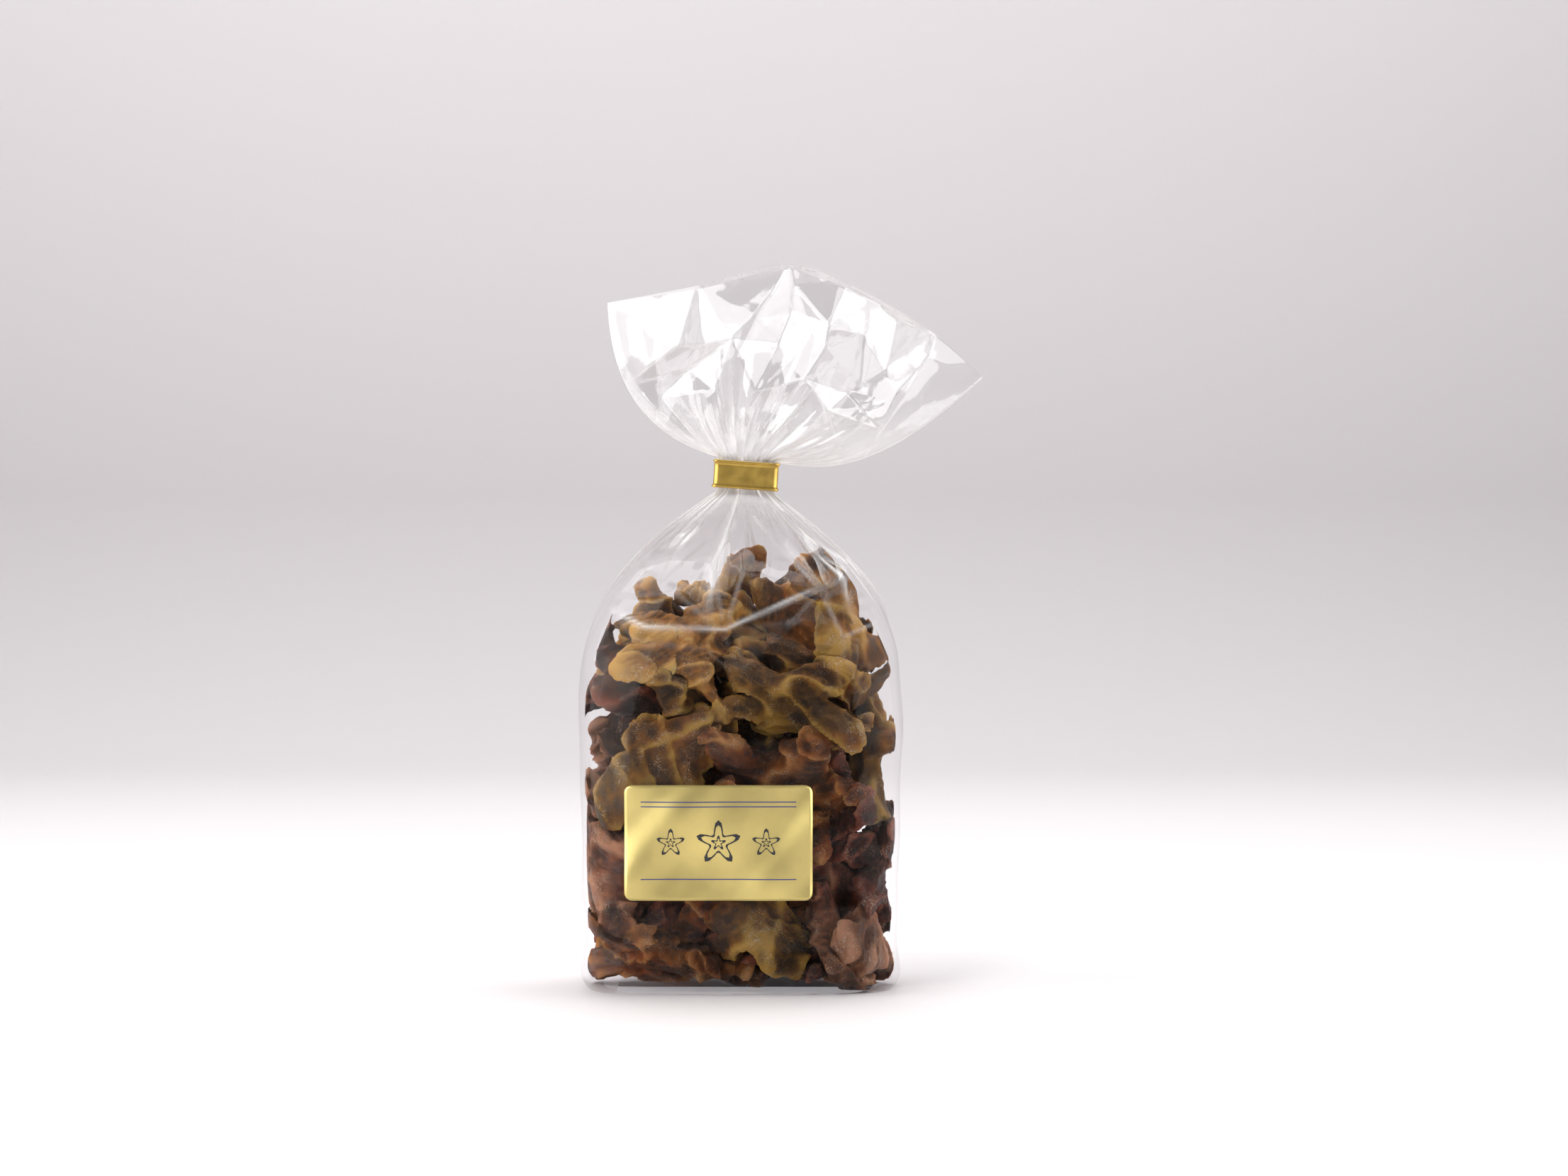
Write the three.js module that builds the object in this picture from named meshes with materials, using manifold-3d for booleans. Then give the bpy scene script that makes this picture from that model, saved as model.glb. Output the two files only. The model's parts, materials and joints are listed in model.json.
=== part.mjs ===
// A gathered clear film bag of dried star-fruit slices, closed by a folded clip band, with a
// plain adhesive label on its front. Millimetres, +Z up, the bag's front faces -Y, and the
// origin is the middle of the base, on the surface that the bag stands on.

import * as THREE from 'three';
import { mergeVertices } from 'three/addons/utils/BufferGeometryUtils.js';
import Module from 'manifold-3d';

const wasm = await Module();
wasm.setup();

// Film bag
const WALL = 0.6; // film, far thicker than the real foil so that it is a sound solid
const CLEARANCE = 0.35; // kept between pieces that touch on the real thing
const COLUMNS = 56; // film columns round the bag, starting at its left side
const FILM_HEIGHTS = [0, 1.2, 5, 14, 25, 37, 50, 62, 74, 84, 92, 99, 105, 111, 117, 122, 127, 131, 135];
const FAN_STEPS = [0.06, 0.14, 0.24, 0.36, 0.5, 0.64, 0.78, 0.9, 1];
const BODY_SECTIONS = [
  { z: 0, halfWidth: 41.6, halfDepth: 24.4, squareness: 7 },
  { z: 1.2, halfWidth: 42.8, halfDepth: 25.6, squareness: 7 },
  { z: 14, halfWidth: 43.8, halfDepth: 26.6, squareness: 6.5 },
  { z: 50, halfWidth: 44.8, halfDepth: 27.2, squareness: 5.5 },
  { z: 84, halfWidth: 45, halfDepth: 26.8, squareness: 4.6 },
  { z: 99, halfWidth: 43.2, halfDepth: 24, squareness: 3.8 },
  { z: 111, halfWidth: 38.2, halfDepth: 19, squareness: 3.1 },
  { z: 122, halfWidth: 29.6, halfDepth: 13.2, squareness: 2.6 },
  { z: 131, halfWidth: 19.4, halfDepth: 8, squareness: 2.2 },
  { z: 139.4, halfWidth: 8.3, halfDepth: 3.1, squareness: 2 },
];
// Heights in pairs are where a change begins and where it is complete
const SHOULDER = {
  folds: [88, 113],
  gather: [117, 139], // towards the neck
  lean: [100, 140],
  depth: 2,
  pressedFlat: 0.8, // share of the folds' depth that is lost in the neck
  fineShare: [0.35, 0.85], // of the fine folds in all the folds, low and high on the shoulder
};
const FOLDS = { fine: 14, broad: 5 }; // round the bag: pleats at the clip that merge into broad folds
const FOLD_DRIFT = [
  { size: 0.16, waves: 2, phase: 0.7 },
  { size: 0.1, waves: 3, phase: 2.1 },
];
// How the slices press the film in and out
const BULGE = { depth: 0.4, begins: [2, 14], ends: [88, 104], waves: 3, climb: 0.09, rows: 0.13, slant: 2 };

// Clip band and the neck that it squeezes flat
const CLIP = {
  width: 18.4,
  depth: 8.2,
  height: 7.8,
  x: 1.5,
  z: 144,
  tilt: 3.9, // degrees, its right end lower
  sheet: 0.6,
  round: 1,
  bead: 0.9,
  beadProud: 0.25,
  endGap: 1.6,
};
const NECK = { halfWidth: 8.3, halfDepth: 3.1, pleats: 14, pleatDepth: 0.22, beyondClip: 0.4 };

// Flared mouth above the clip: its edge as seen from the front, and how the film leaves the clip
const MOUTH_EDGE = [
  [-37.8, 192.4],
  [-12, 197.6],
  [13.8, 203.6],
  [36, 195.4],
  [54.2, 184.2],
  [68.4, 171.2],
];
const MOUTH_OPENING = 9; // half the gap between the mouth's front and back edges
const FRONT_EDGE_DROP = 2.4; // the front edge hangs a little lower than the back one
const FAN_BALLOON = { nearClip: 8, nearEdge: 12.5 };
const FAN_FOLDS = { fine: 1.3, broad: 3.4, grow: [0, 0.3], merge: [0.1, 0.6], fineLost: 0.8, edgeLost: 0.3 };
const LEAVE = { left: 165, right: -14, reach: 19 }; // the film's bearing at the neck, in degrees
const ARRIVE = { left: 92, middle: 84, right: 42 }; // and at the mouth's edge
const ARRIVE_REACH = { left: 27, middle: 22, right: 34 };

// Label
const LABEL = { width: 52, height: 32, corner: 2.2, sheet: 0.5, x: -5.9, z: 42.8, columns: 8, rows: 4 };

// Dried slices. A range gives the least and the most that a slice or an arm may have.
const SLICE_COUNT = 42;
const SLICE = {
  radius: [16, 22.5],
  thickness: [4.4, 6.8],
  valley: [0.34, 0.44], // radius of the notch between two arms, as a share of the slice's own
  bend: [-10, 12],
  twist: [-11, 11],
  rimThickness: 0.62,
  shoulder: 0.52,
  tornShare: 0.22, // of the slices, which have two arms torn short
};
const ARMS = 5;
const ARM = {
  knees: [0.64, 0.6], // where each side of an arm is widest, as a share of its reach
  kneeSkew: 0.4,
  shortSide: 0.97, // reach of the tip's shorter side
  facing: { from: 0.8, span: 0.2 }, // cosine of the angle off an arm's axis, from where it curls
  swing: [-0.15, 0.15],
  reach: [0.8, 1.08],
  tornReach: [0.5, 0.62],
  halfWidth: [3.3, 5],
  curl: [-12, 13],
  tip: [1.1, 2.3],
  skew: [-3.4, 3.4],
};

// How the slices are dropped into the bag and settle. Each is a cluster of balls meanwhile.
const SIDES_TOP = 84; // the film's sides are straight below this
const HEAP_TOP = 119; // and no slice stands above this
const DROP = { lowest: 20, spacing: 15, aside: 17, tilt: 0.9 }; // left and right by turns
const BALL = {
  spacing: 3,
  rowSpacing: 2.61,
  margin: 0.45,
  tipInset: 1.6,
  outset: 0.93, // the outline is tested a little outside each ball, more so on a small slice
  smallOutset: 1.2,
};
const INSIDE = { folds: [84, 104], slopes: [86, 112], steepest: 0.35 };
const SETTLE = {
  steps: 900,
  passes: 6,
  gravity: 0.05,
  drag: 0.972,
  fastest: 1.7,
  closing: [480, 620], // steps in which the shoulders close over the slices
  calm: 680, // the step from which nothing falls any more
  lookAhead: 1.2,
  fittingRounds: 3,
};
const TRIM_GAP = 0.3;
const SEED = 20;

// Flesh tones by where a slice lies, seen from the front: the first place that holds it counts
const FLESH = { amber: 0x6e4320, olive: 0x7a5a22, red: 0x5c2f1e, honey: 0x8a6430, pink: 0x70503c };
const SIDE = 60; // beyond the bag
const TONE_PLACES = [
  { tone: 'honey', x: [-SIDE, SIDE], z: [96, 140] },
  { tone: 'red', x: [-SIDE, -14], z: [74, 96] },
  { tone: 'pink', x: [18, SIDE], z: [70, 96] },
  { tone: 'olive', x: [-SIDE, SIDE], z: [58, 96] },
  { tone: 'red', x: [14, SIDE], z: [32, 58] },
  { tone: 'pink', x: [-SIDE, -16], z: [24, 58] },
  { tone: 'amber', x: [-SIDE, -8], z: [0, 24] },
  { tone: 'olive', x: [-8, 8], z: [0, 24] },
  { tone: 'pink', x: [22, SIDE], z: [0, 32] },
  { tone: 'red', x: [-8, 22], z: [0, 32] },
  { tone: 'amber', x: [-SIDE, SIDE], z: [0, 140] },
];

const { lerp, clamp, smoothstep } = THREE.MathUtils;
const degrees = THREE.MathUtils.degToRad;
const clipTilt = degrees(CLIP.tilt);
const clipAxis = new THREE.Vector3(0, 1, 0);

function randomFrom(seed) {
  let state = seed >>> 0;
  return () => {
    state = (state + 0x6d2b79f5) >>> 0;
    let mixed = Math.imul(state ^ (state >>> 15), state | 1);
    mixed ^= mixed + Math.imul(mixed ^ (mixed >>> 7), mixed | 61);
    return ((mixed ^ (mixed >>> 14)) >>> 0) / 4294967296;
  };
}

function geometryOf(points, triangles) {
  const geometry = new THREE.BufferGeometry();
  const flat = new Float32Array(points.flatMap((p) => [p.x, p.y, p.z]));
  geometry.setAttribute('position', new THREE.BufferAttribute(flat, 3));
  geometry.setIndex(triangles);
  return geometry;
}

function solidOf(geometry) {
  const bare = geometry.clone();
  bare.deleteAttribute('normal');
  bare.deleteAttribute('uv');
  const merged = mergeVertices(bare, 1e-5);
  const mesh = new wasm.Mesh({
    numProp: 3,
    vertProperties: new Float32Array(merged.attributes.position.array),
    triVerts: new Uint32Array(merged.index.array),
  });
  return new wasm.Manifold(mesh);
}

function geometryFrom(solid) {
  const mesh = solid.getMesh();
  const geometry = new THREE.BufferGeometry();
  geometry.setAttribute('position', new THREE.BufferAttribute(mesh.vertProperties, 3));
  geometry.setIndex(new THREE.BufferAttribute(mesh.triVerts, 1));
  return geometry;
}

// Film bag

const triangleWave = (turns) => 1 - 4 * Math.abs(turns - Math.floor(turns) - 0.5);
const angleOf = (column) => Math.PI + (2 * Math.PI * column) / COLUMNS;

function sectionAt(z) {
  const last = BODY_SECTIONS.length - 1;
  let k = 0;
  while (k < last - 1 && z > BODY_SECTIONS[k + 1].z) k += 1;
  const low = BODY_SECTIONS[k];
  const high = BODY_SECTIONS[k + 1];
  const t = clamp((z - low.z) / (high.z - low.z), 0, 1);
  return {
    halfWidth: lerp(low.halfWidth, high.halfWidth, t),
    halfDepth: lerp(low.halfDepth, high.halfDepth, t),
    squareness: lerp(low.squareness, high.squareness, t),
  };
}

function sectionPoint({ halfWidth, halfDepth, squareness }, angle) {
  const c = Math.cos(angle);
  const s = Math.sin(angle);
  const reach = (Math.abs(c) ** squareness + Math.abs(s) ** squareness) ** (-1 / squareness);
  return [halfWidth * c * reach, halfDepth * s * reach];
}

// Irregular folds that run up and down the film, from -1 to 1
function foldAt(angle, folds) {
  const drift = FOLD_DRIFT.reduce((sum, d) => sum + d.size * Math.sin(d.waves * angle + d.phase), 0);
  return triangleWave((folds * angle) / (2 * Math.PI) + drift);
}

function bulgeAt(angle, z) {
  const fade = smoothstep(z, ...BULGE.begins) * (1 - smoothstep(z, ...BULGE.ends));
  const around = Math.sin(BULGE.waves * angle + BULGE.climb * z);
  return BULGE.depth * fade * around * Math.sin(BULGE.rows * z - BULGE.slant * angle);
}

function bodyPoint(angle, z) {
  const section = sectionAt(z);
  const [x, y] = sectionPoint(section, angle);
  const rise = smoothstep(z, ...SHOULDER.folds);
  const gather = smoothstep(z, ...SHOULDER.gather);
  const fineShare = lerp(...SHOULDER.fineShare, gather);
  const wave = lerp(foldAt(angle, FOLDS.broad), foldAt(angle, FOLDS.fine), fineShare);
  const fold = SHOULDER.depth * rise * (1 - SHOULDER.pressedFlat * gather) * (wave - 1) * 0.5;
  const outward = new THREE.Vector2(x / section.halfWidth, y / section.halfDepth).normalize();
  const push = fold + bulgeAt(angle, z);
  const lean = smoothstep(z, ...SHOULDER.lean);
  const tilt = clipTilt * lean;
  const across = x + outward.x * push;
  return new THREE.Vector3(
    CLIP.x * lean + across * Math.cos(tilt),
    y + outward.y * push,
    z - across * Math.sin(tilt),
  );
}

function neckPoint(angle, height) {
  const crest = triangleWave((NECK.pleats * angle) / (2 * Math.PI));
  const pleat = 1 + ((NECK.pleatDepth / NECK.halfDepth) * (crest - 1)) / 2;
  const across = NECK.halfWidth * pleat * Math.cos(angle);
  const deep = NECK.halfDepth * pleat * Math.sin(angle);
  const point = new THREE.Vector3(across, deep, height).applyAxisAngle(clipAxis, clipTilt);
  return point.add(new THREE.Vector3(CLIP.x, 0, CLIP.z));
}

const mouthCurve = new THREE.CatmullRomCurve3(
  MOUTH_EDGE.map(([x, z]) => new THREE.Vector3(x, 0, z)),
  false,
  'centripetal',
);

const headingOf = (bearing) => new THREE.Vector3(Math.cos(degrees(bearing)), 0, Math.sin(degrees(bearing)));

// A film column above the clip, from the neck (step 0) to the mouth's edge (step 1)
function fanPoint(angle, step) {
  const share = 1 - Math.abs(1 - (angle - Math.PI) / Math.PI); // of the way from left corner to right
  const side = Math.sin(angle);
  const start = neckPoint(angle, CLIP.height / 2 + NECK.beyondClip);
  const end = mouthCurve.getPointAt(share);
  end.y = MOUTH_OPENING * side;
  end.z -= FRONT_EDGE_DROP * Math.max(0, -side);
  const leaving = lerp(LEAVE.left, LEAVE.right, share);
  const across = ({ left, middle, right }) =>
    share < 0.5 ? lerp(left, middle, share * 2) : lerp(middle, right, share * 2 - 1);
  const early = start.clone().addScaledVector(headingOf(leaving), LEAVE.reach);
  const late = end.clone().addScaledVector(headingOf(across(ARRIVE)), -across(ARRIVE_REACH));
  early.y = FAN_BALLOON.nearClip * side;
  late.y = FAN_BALLOON.nearEdge * side;
  const point = new THREE.CubicBezierCurve3(start, early, late, end).getPoint(step);
  const merged = smoothstep(step, ...FAN_FOLDS.merge);
  const fine = FAN_FOLDS.fine * foldAt(angle, FOLDS.fine) * (1 - FAN_FOLDS.fineLost * merged);
  const broad = FAN_FOLDS.broad * foldAt(angle, FOLDS.broad) * merged;
  const grown = smoothstep(step, ...FAN_FOLDS.grow) * (1 - FAN_FOLDS.edgeLost * step);
  point.y += (fine + broad) * side * side * grown;
  return point;
}

function filmRows() {
  const angles = Array.from({ length: COLUMNS }, (_, column) => angleOf(column));
  const rows = FILM_HEIGHTS.map((z) => angles.map((angle) => bodyPoint(angle, z)));
  const neckReach = CLIP.height / 2 + NECK.beyondClip;
  for (const height of [-neckReach, 0, neckReach]) {
    rows.push(angles.map((angle) => neckPoint(angle, height)));
  }
  for (const step of FAN_STEPS) {
    rows.push(angles.map((angle) => fanPoint(angle, step)));
  }
  return rows;
}

// Moves every point of the rows inwards by a depth, along the surface's own normal
function innerRows(rows, depth) {
  return rows.map((row, r) =>
    row.map((point, c) => {
      const next = row[(c + 1) % COLUMNS];
      const before = row[(c + COLUMNS - 1) % COLUMNS];
      const above = rows[Math.min(r + 1, rows.length - 1)][c];
      const below = rows[Math.max(r - 1, 0)][c];
      const along = next.clone().sub(before);
      const up = above.clone().sub(below);
      const normal = along.cross(up).normalize();
      const inner = point.clone().addScaledVector(normal, -depth);
      if (r === 0) inner.z = depth;
      if (r === 1) inner.z = Math.max(inner.z, depth + WALL);
      return inner;
    }),
  );
}

function skinBetween(triangles, lower, upper, flip) {
  for (let c = 0; c < COLUMNS; c += 1) {
    const d = (c + 1) % COLUMNS;
    const corners = [lower + c, lower + d, upper + d, upper + c];
    if (flip) corners.reverse();
    triangles.push(corners[0], corners[1], corners[2], corners[0], corners[2], corners[3]);
  }
}

function capRow(triangles, row, centre, flip) {
  for (let c = 0; c < COLUMNS; c += 1) {
    const d = (c + 1) % COLUMNS;
    triangles.push(...(flip ? [row + c, row + d, centre] : [row + d, row + c, centre]));
  }
}

// The space inside the bag below the clip, kept clear of the film
function makeHollow() {
  const rows = innerRows(filmRows(), WALL + CLEARANCE).slice(0, FILM_HEIGHTS.length);
  const points = rows.flat();
  const triangles = [];
  for (let r = 0; r < rows.length - 1; r += 1) {
    skinBetween(triangles, r * COLUMNS, (r + 1) * COLUMNS, false);
  }
  for (const row of [rows[0], rows[rows.length - 1]]) {
    points.push(row.reduce((sum, p) => sum.add(p), new THREE.Vector3()).divideScalar(COLUMNS));
  }
  capRow(triangles, 0, points.length - 2, false);
  capRow(triangles, (rows.length - 1) * COLUMNS, points.length - 1, true);
  return solidOf(geometryOf(points, triangles));
}

function makeFilmBag() {
  const outer = filmRows();
  const inner = innerRows(outer, WALL);
  const points = [...outer.flat(), ...inner.flat()];
  const innerStart = outer.length * COLUMNS;
  const triangles = [];
  for (let r = 0; r < outer.length - 1; r += 1) {
    skinBetween(triangles, r * COLUMNS, (r + 1) * COLUMNS, false);
    skinBetween(triangles, innerStart + r * COLUMNS, innerStart + (r + 1) * COLUMNS, true);
  }
  const top = (outer.length - 1) * COLUMNS;
  skinBetween(triangles, top, innerStart + top, false);
  points.push(new THREE.Vector3(0, 0, 0), new THREE.Vector3(0, 0, WALL));
  capRow(triangles, 0, points.length - 2, false);
  capRow(triangles, innerStart, points.length - 1, true);
  return geometryOf(points, triangles);
}

// Clip band: a strip folded round the neck, with a wire bead along each edge

function bandOutline(outset) {
  const w = CLIP.width / 2 + outset;
  const d = CLIP.depth / 2 + outset;
  const inW = CLIP.width / 2 - CLIP.sheet;
  const inD = CLIP.depth / 2 - CLIP.sheet;
  const slot = CLIP.endGap / 2;
  const { round } = CLIP;
  const shape = new THREE.Shape();
  shape.moveTo(slot, d);
  shape.lineTo(slot, inD);
  shape.lineTo(inW, inD);
  shape.lineTo(inW, -inD);
  shape.lineTo(-inW, -inD);
  shape.lineTo(-inW, inD);
  shape.lineTo(-slot, inD);
  shape.lineTo(-slot, d);
  shape.lineTo(-w + round, d);
  shape.quadraticCurveTo(-w, d, -w, d - round);
  shape.lineTo(-w, -d + round);
  shape.quadraticCurveTo(-w, -d, -w + round, -d);
  shape.lineTo(w - round, -d);
  shape.quadraticCurveTo(w, -d, w, -d + round);
  shape.lineTo(w, d - round);
  shape.quadraticCurveTo(w, d, w - round, d);
  shape.closePath();
  return shape;
}

function makeClipBand() {
  const wall = new THREE.ExtrudeGeometry(bandOutline(0), {
    depth: CLIP.height,
    bevelEnabled: false,
    curveSegments: 3,
  }).translate(0, 0, -CLIP.height / 2);
  const bead = new THREE.ExtrudeGeometry(bandOutline(CLIP.beadProud), {
    depth: CLIP.bead,
    bevelEnabled: false,
    curveSegments: 3,
  });
  const lowerBead = bead.clone().translate(0, 0, -CLIP.height / 2);
  const upperBead = bead.clone().translate(0, 0, CLIP.height / 2 - CLIP.bead);
  return geometryFrom(solidOf(wall).add(solidOf(lowerBead)).add(solidOf(upperBead)));
}

// Label: a thin sheet that follows the film's front

function frontOfFilm(x, z) {
  const { halfWidth, halfDepth, squareness } = sectionAt(z);
  const share = Math.abs(x / halfWidth);
  const angle = Math.atan2(-1, x / halfWidth);
  return -halfDepth * (1 - share ** squareness) ** (1 / squareness) - bulgeAt(angle + 2 * Math.PI, z);
}

function makeLabel() {
  const across = LABEL.columns;
  const high = LABEL.rows;
  const spare = 1; // round the outline that is cut from it
  const points = [];
  for (const offset of [CLEARANCE, CLEARANCE + LABEL.sheet]) {
    for (let r = 0; r <= high; r += 1) {
      for (let c = 0; c <= across; c += 1) {
        const x = LABEL.x + (c / across - 0.5) * (LABEL.width + spare);
        const z = LABEL.z + (r / high - 0.5) * (LABEL.height + spare);
        points.push(new THREE.Vector3(x, frontOfFilm(x, z) - offset, z));
      }
    }
  }
  const stride = across + 1;
  const face = stride * (high + 1);
  const triangles = [];
  const quad = (a, b, c, d) => triangles.push(a, b, c, a, c, d);
  for (let r = 0; r < high; r += 1) {
    for (let c = 0; c < across; c += 1) {
      const a = r * stride + c;
      quad(a, a + stride, a + stride + 1, a + 1);
      quad(face + a, face + a + 1, face + a + stride + 1, face + a + stride);
    }
  }
  for (let c = 0; c < across; c += 1) {
    const top = high * stride + c;
    quad(c, c + 1, face + c + 1, face + c);
    quad(top + 1, top, face + top, face + top + 1);
  }
  for (let r = 0; r < high; r += 1) {
    const left = r * stride;
    const right = left + across;
    quad(left + stride, left, face + left, face + left + stride);
    quad(right, right + stride, face + right + stride, face + right);
  }
  const slab = geometryOf(points, triangles);
  const w = LABEL.width / 2;
  const h = LABEL.height / 2;
  const r = LABEL.corner;
  const outline = new THREE.Shape();
  outline.moveTo(-w + r, -h);
  outline.lineTo(w - r, -h);
  outline.absarc(w - r, -h + r, r, -Math.PI / 2, 0, false);
  outline.lineTo(w, h - r);
  outline.absarc(w - r, h - r, r, 0, Math.PI / 2, false);
  outline.lineTo(-w + r, h);
  outline.absarc(-w + r, h - r, r, Math.PI / 2, Math.PI, false);
  outline.lineTo(-w, -h + r);
  outline.absarc(-w + r, -h + r, r, Math.PI, 1.5 * Math.PI, false);
  const depth = 20;
  const cutter = new THREE.ExtrudeGeometry(outline, { depth, bevelEnabled: false, curveSegments: 4 });
  cutter.rotateX(Math.PI / 2).translate(LABEL.x, -depth, LABEL.z);
  return geometryFrom(solidOf(slab).intersect(solidOf(cutter)));
}

// Dried slices: five-armed stars, each warped its own way

function sliceForm(random) {
  const within = ([least, most]) => lerp(least, most, random());
  const radius = within(SLICE.radius);
  const torn = random() < SLICE.tornShare ? Math.floor(random() * ARMS) : ARMS;
  const arms = Array.from({ length: ARMS }, (_, k) => ({
    angle: ((k + within(ARM.swing)) * 2 * Math.PI) / ARMS,
    reach: radius * within(k === torn || k === torn + 1 ? ARM.tornReach : ARM.reach),
    halfWidth: within(ARM.halfWidth),
    curl: within(ARM.curl),
    tip: within(ARM.tip),
    skew: within(ARM.skew),
  }));
  return {
    radius,
    arms,
    valley: radius * within(SLICE.valley),
    thickness: within(SLICE.thickness),
    bend: within(SLICE.bend),
    bendAngle: within([0, Math.PI]),
    twist: within(SLICE.twist),
  };
}

// Height of the warped middle of the slice over its own flat plane
function warpAt(form, x, y) {
  const along = (x * Math.cos(form.bendAngle) + y * Math.sin(form.bendAngle)) / form.radius;
  const across = (y * Math.cos(form.bendAngle) - x * Math.sin(form.bendAngle)) / form.radius;
  let height = form.bend * along * along + form.twist * along * across;
  const distance = Math.hypot(x, y);
  for (const arm of form.arms) {
    const facing = (x * Math.cos(arm.angle) + y * Math.sin(arm.angle)) / (distance || 1);
    const onArm = Math.max(0, (facing - ARM.facing.from) / ARM.facing.span);
    height += arm.curl * onArm * (distance / form.radius) ** 2;
  }
  return height;
}

// The slice's outline, with four points to an arm and one in each valley
function sliceOutline(form) {
  const centre = new THREE.Vector2();
  const outline = [];
  form.arms.forEach((arm, k) => {
    const before = form.arms[(k + ARMS - 1) % ARMS];
    const gap = (arm.angle - before.angle + 2 * Math.PI) % (2 * Math.PI);
    const valleyAngle = arm.angle - gap / 2;
    const at = (along, aside) => new THREE.Vector2(along, aside).rotateAround(centre, arm.angle);
    const kneeSkew = arm.skew * ARM.kneeSkew;
    outline.push(
      new THREE.Vector2(form.valley, 0).rotateAround(centre, valleyAngle),
      at(arm.reach * ARM.knees[0], -arm.halfWidth + kneeSkew),
      at(arm.reach * ARM.shortSide, -arm.tip + arm.skew),
      at(arm.reach, arm.tip + arm.skew),
      at(arm.reach * ARM.knees[1], arm.halfWidth + kneeSkew),
    );
  });
  return outline;
}

function makeSlice(form, grown = 0) {
  const rim = sliceOutline(form).map((p) => p.setLength(p.length() + grown));
  const count = rim.length;
  const points = [];
  const rings = [
    { share: SLICE.shoulder, thickness: 1 },
    { share: 1, thickness: SLICE.rimThickness },
  ];
  for (const side of [1, -1]) {
    points.push(new THREE.Vector3(0, 0, warpAt(form, 0, 0) + side * (form.thickness * 0.5 + grown)));
    for (const ring of rings) {
      for (const p of rim) {
        const x = p.x * ring.share;
        const y = p.y * ring.share;
        const half = form.thickness * 0.5 * ring.thickness + grown;
        points.push(new THREE.Vector3(x, y, warpAt(form, x, y) + side * half));
      }
    }
  }
  const face = 1 + 2 * count;
  const triangles = [];
  for (let c = 0; c < count; c += 1) {
    const d = (c + 1) % count;
    for (const [base, flip] of [[0, false], [face, true]]) {
      const add = (p, q, r) => triangles.push(...(flip ? [p, r, q] : [p, q, r]).map((v) => v + base));
      add(0, 1 + c, 1 + d);
      add(1 + c, 1 + count + c, 1 + count + d);
      add(1 + c, 1 + count + d, 1 + d);
    }
    const upper = 1 + count;
    triangles.push(upper + d, upper + c, face + upper + c, upper + d, face + upper + c, face + upper + d);
  }
  return geometryOf(points, triangles);
}

// Balls that fill the slice's form, which stand for it while the heap settles
function ballsOf(form) {
  const outline = sliceOutline(form);
  const inside = (x, y) => {
    let odd = false;
    outline.forEach((a, k) => {
      const b = outline[(k + 1) % outline.length];
      const crosses = a.y > y !== b.y > y && x < ((b.x - a.x) * (y - a.y)) / (b.y - a.y) + a.x;
      if (crosses) odd = !odd;
    });
    return odd;
  };
  const flat = [];
  const reach = Math.ceil((form.radius * 1.1) / BALL.rowSpacing);
  const outset = BALL.outset + BALL.smallOutset / form.radius;
  for (let i = -reach; i <= reach; i += 1) {
    for (let j = -reach; j <= reach; j += 1) {
      const x = (i + (j % 2 ? 0.5 : 0)) * BALL.spacing;
      const y = j * BALL.rowSpacing;
      if (inside(x * outset, y * outset)) flat.push([x, y]);
    }
  }
  for (const arm of form.arms) {
    const tip = new THREE.Vector2(arm.reach - BALL.tipInset, arm.skew);
    flat.push(tip.rotateAround(new THREE.Vector2(), arm.angle).toArray());
  }
  return flat.map(([x, y]) => new THREE.Vector3(x, y, warpAt(form, x, y)));
}

// Keeps a ball inside the film, whose shoulders close from the straight sides above (0) to their
// final form (1) once the slices have dropped in
function holdInside(ball, size, closed) {
  ball.z = Math.max(ball.z, WALL + CLEARANCE + size);
  if (closed === 1) ball.z = Math.min(ball.z, HEAP_TOP);
  const z = ball.z;
  const section = sectionAt(z > SIDES_TOP ? lerp(SIDES_TOP, Math.min(z, HEAP_TOP), closed) : z);
  const slope = 1 + INSIDE.steepest * closed * smoothstep(z, ...INSIDE.slopes);
  const folds = SHOULDER.depth * closed * smoothstep(z, ...INSIDE.folds);
  const spare = WALL + CLEARANCE + BULGE.depth + folds;
  const wide = section.halfWidth - spare - size * slope;
  const deep = section.halfDepth - spare - size * slope;
  const { squareness } = section;
  const reach = Math.abs(ball.x / wide) ** squareness + Math.abs(ball.y / deep) ** squareness;
  if (reach > 1) {
    const pull = reach ** (-1 / squareness);
    ball.x *= pull;
    ball.y *= pull;
  }
}

// Turns the slice towards the rotation that best fits where its balls went
function fitRotation(rotation, columns) {
  const basis = [new THREE.Vector3(), new THREE.Vector3(), new THREE.Vector3()];
  const matrix = new THREE.Matrix4();
  const turn = new THREE.Quaternion();
  for (let round = 0; round < SETTLE.fittingRounds; round += 1) {
    matrix.makeRotationFromQuaternion(rotation).extractBasis(...basis);
    const axis = new THREE.Vector3();
    let weight = 1e-9;
    basis.forEach((direction, k) => {
      axis.add(direction.clone().cross(columns[k]));
      weight += direction.dot(columns[k]);
    });
    axis.divideScalar(Math.abs(weight));
    const angle = axis.length();
    if (angle < 1e-7) return;
    rotation.premultiply(turn.setFromAxisAngle(axis.divideScalar(angle), angle)).normalize();
  }
}

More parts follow.
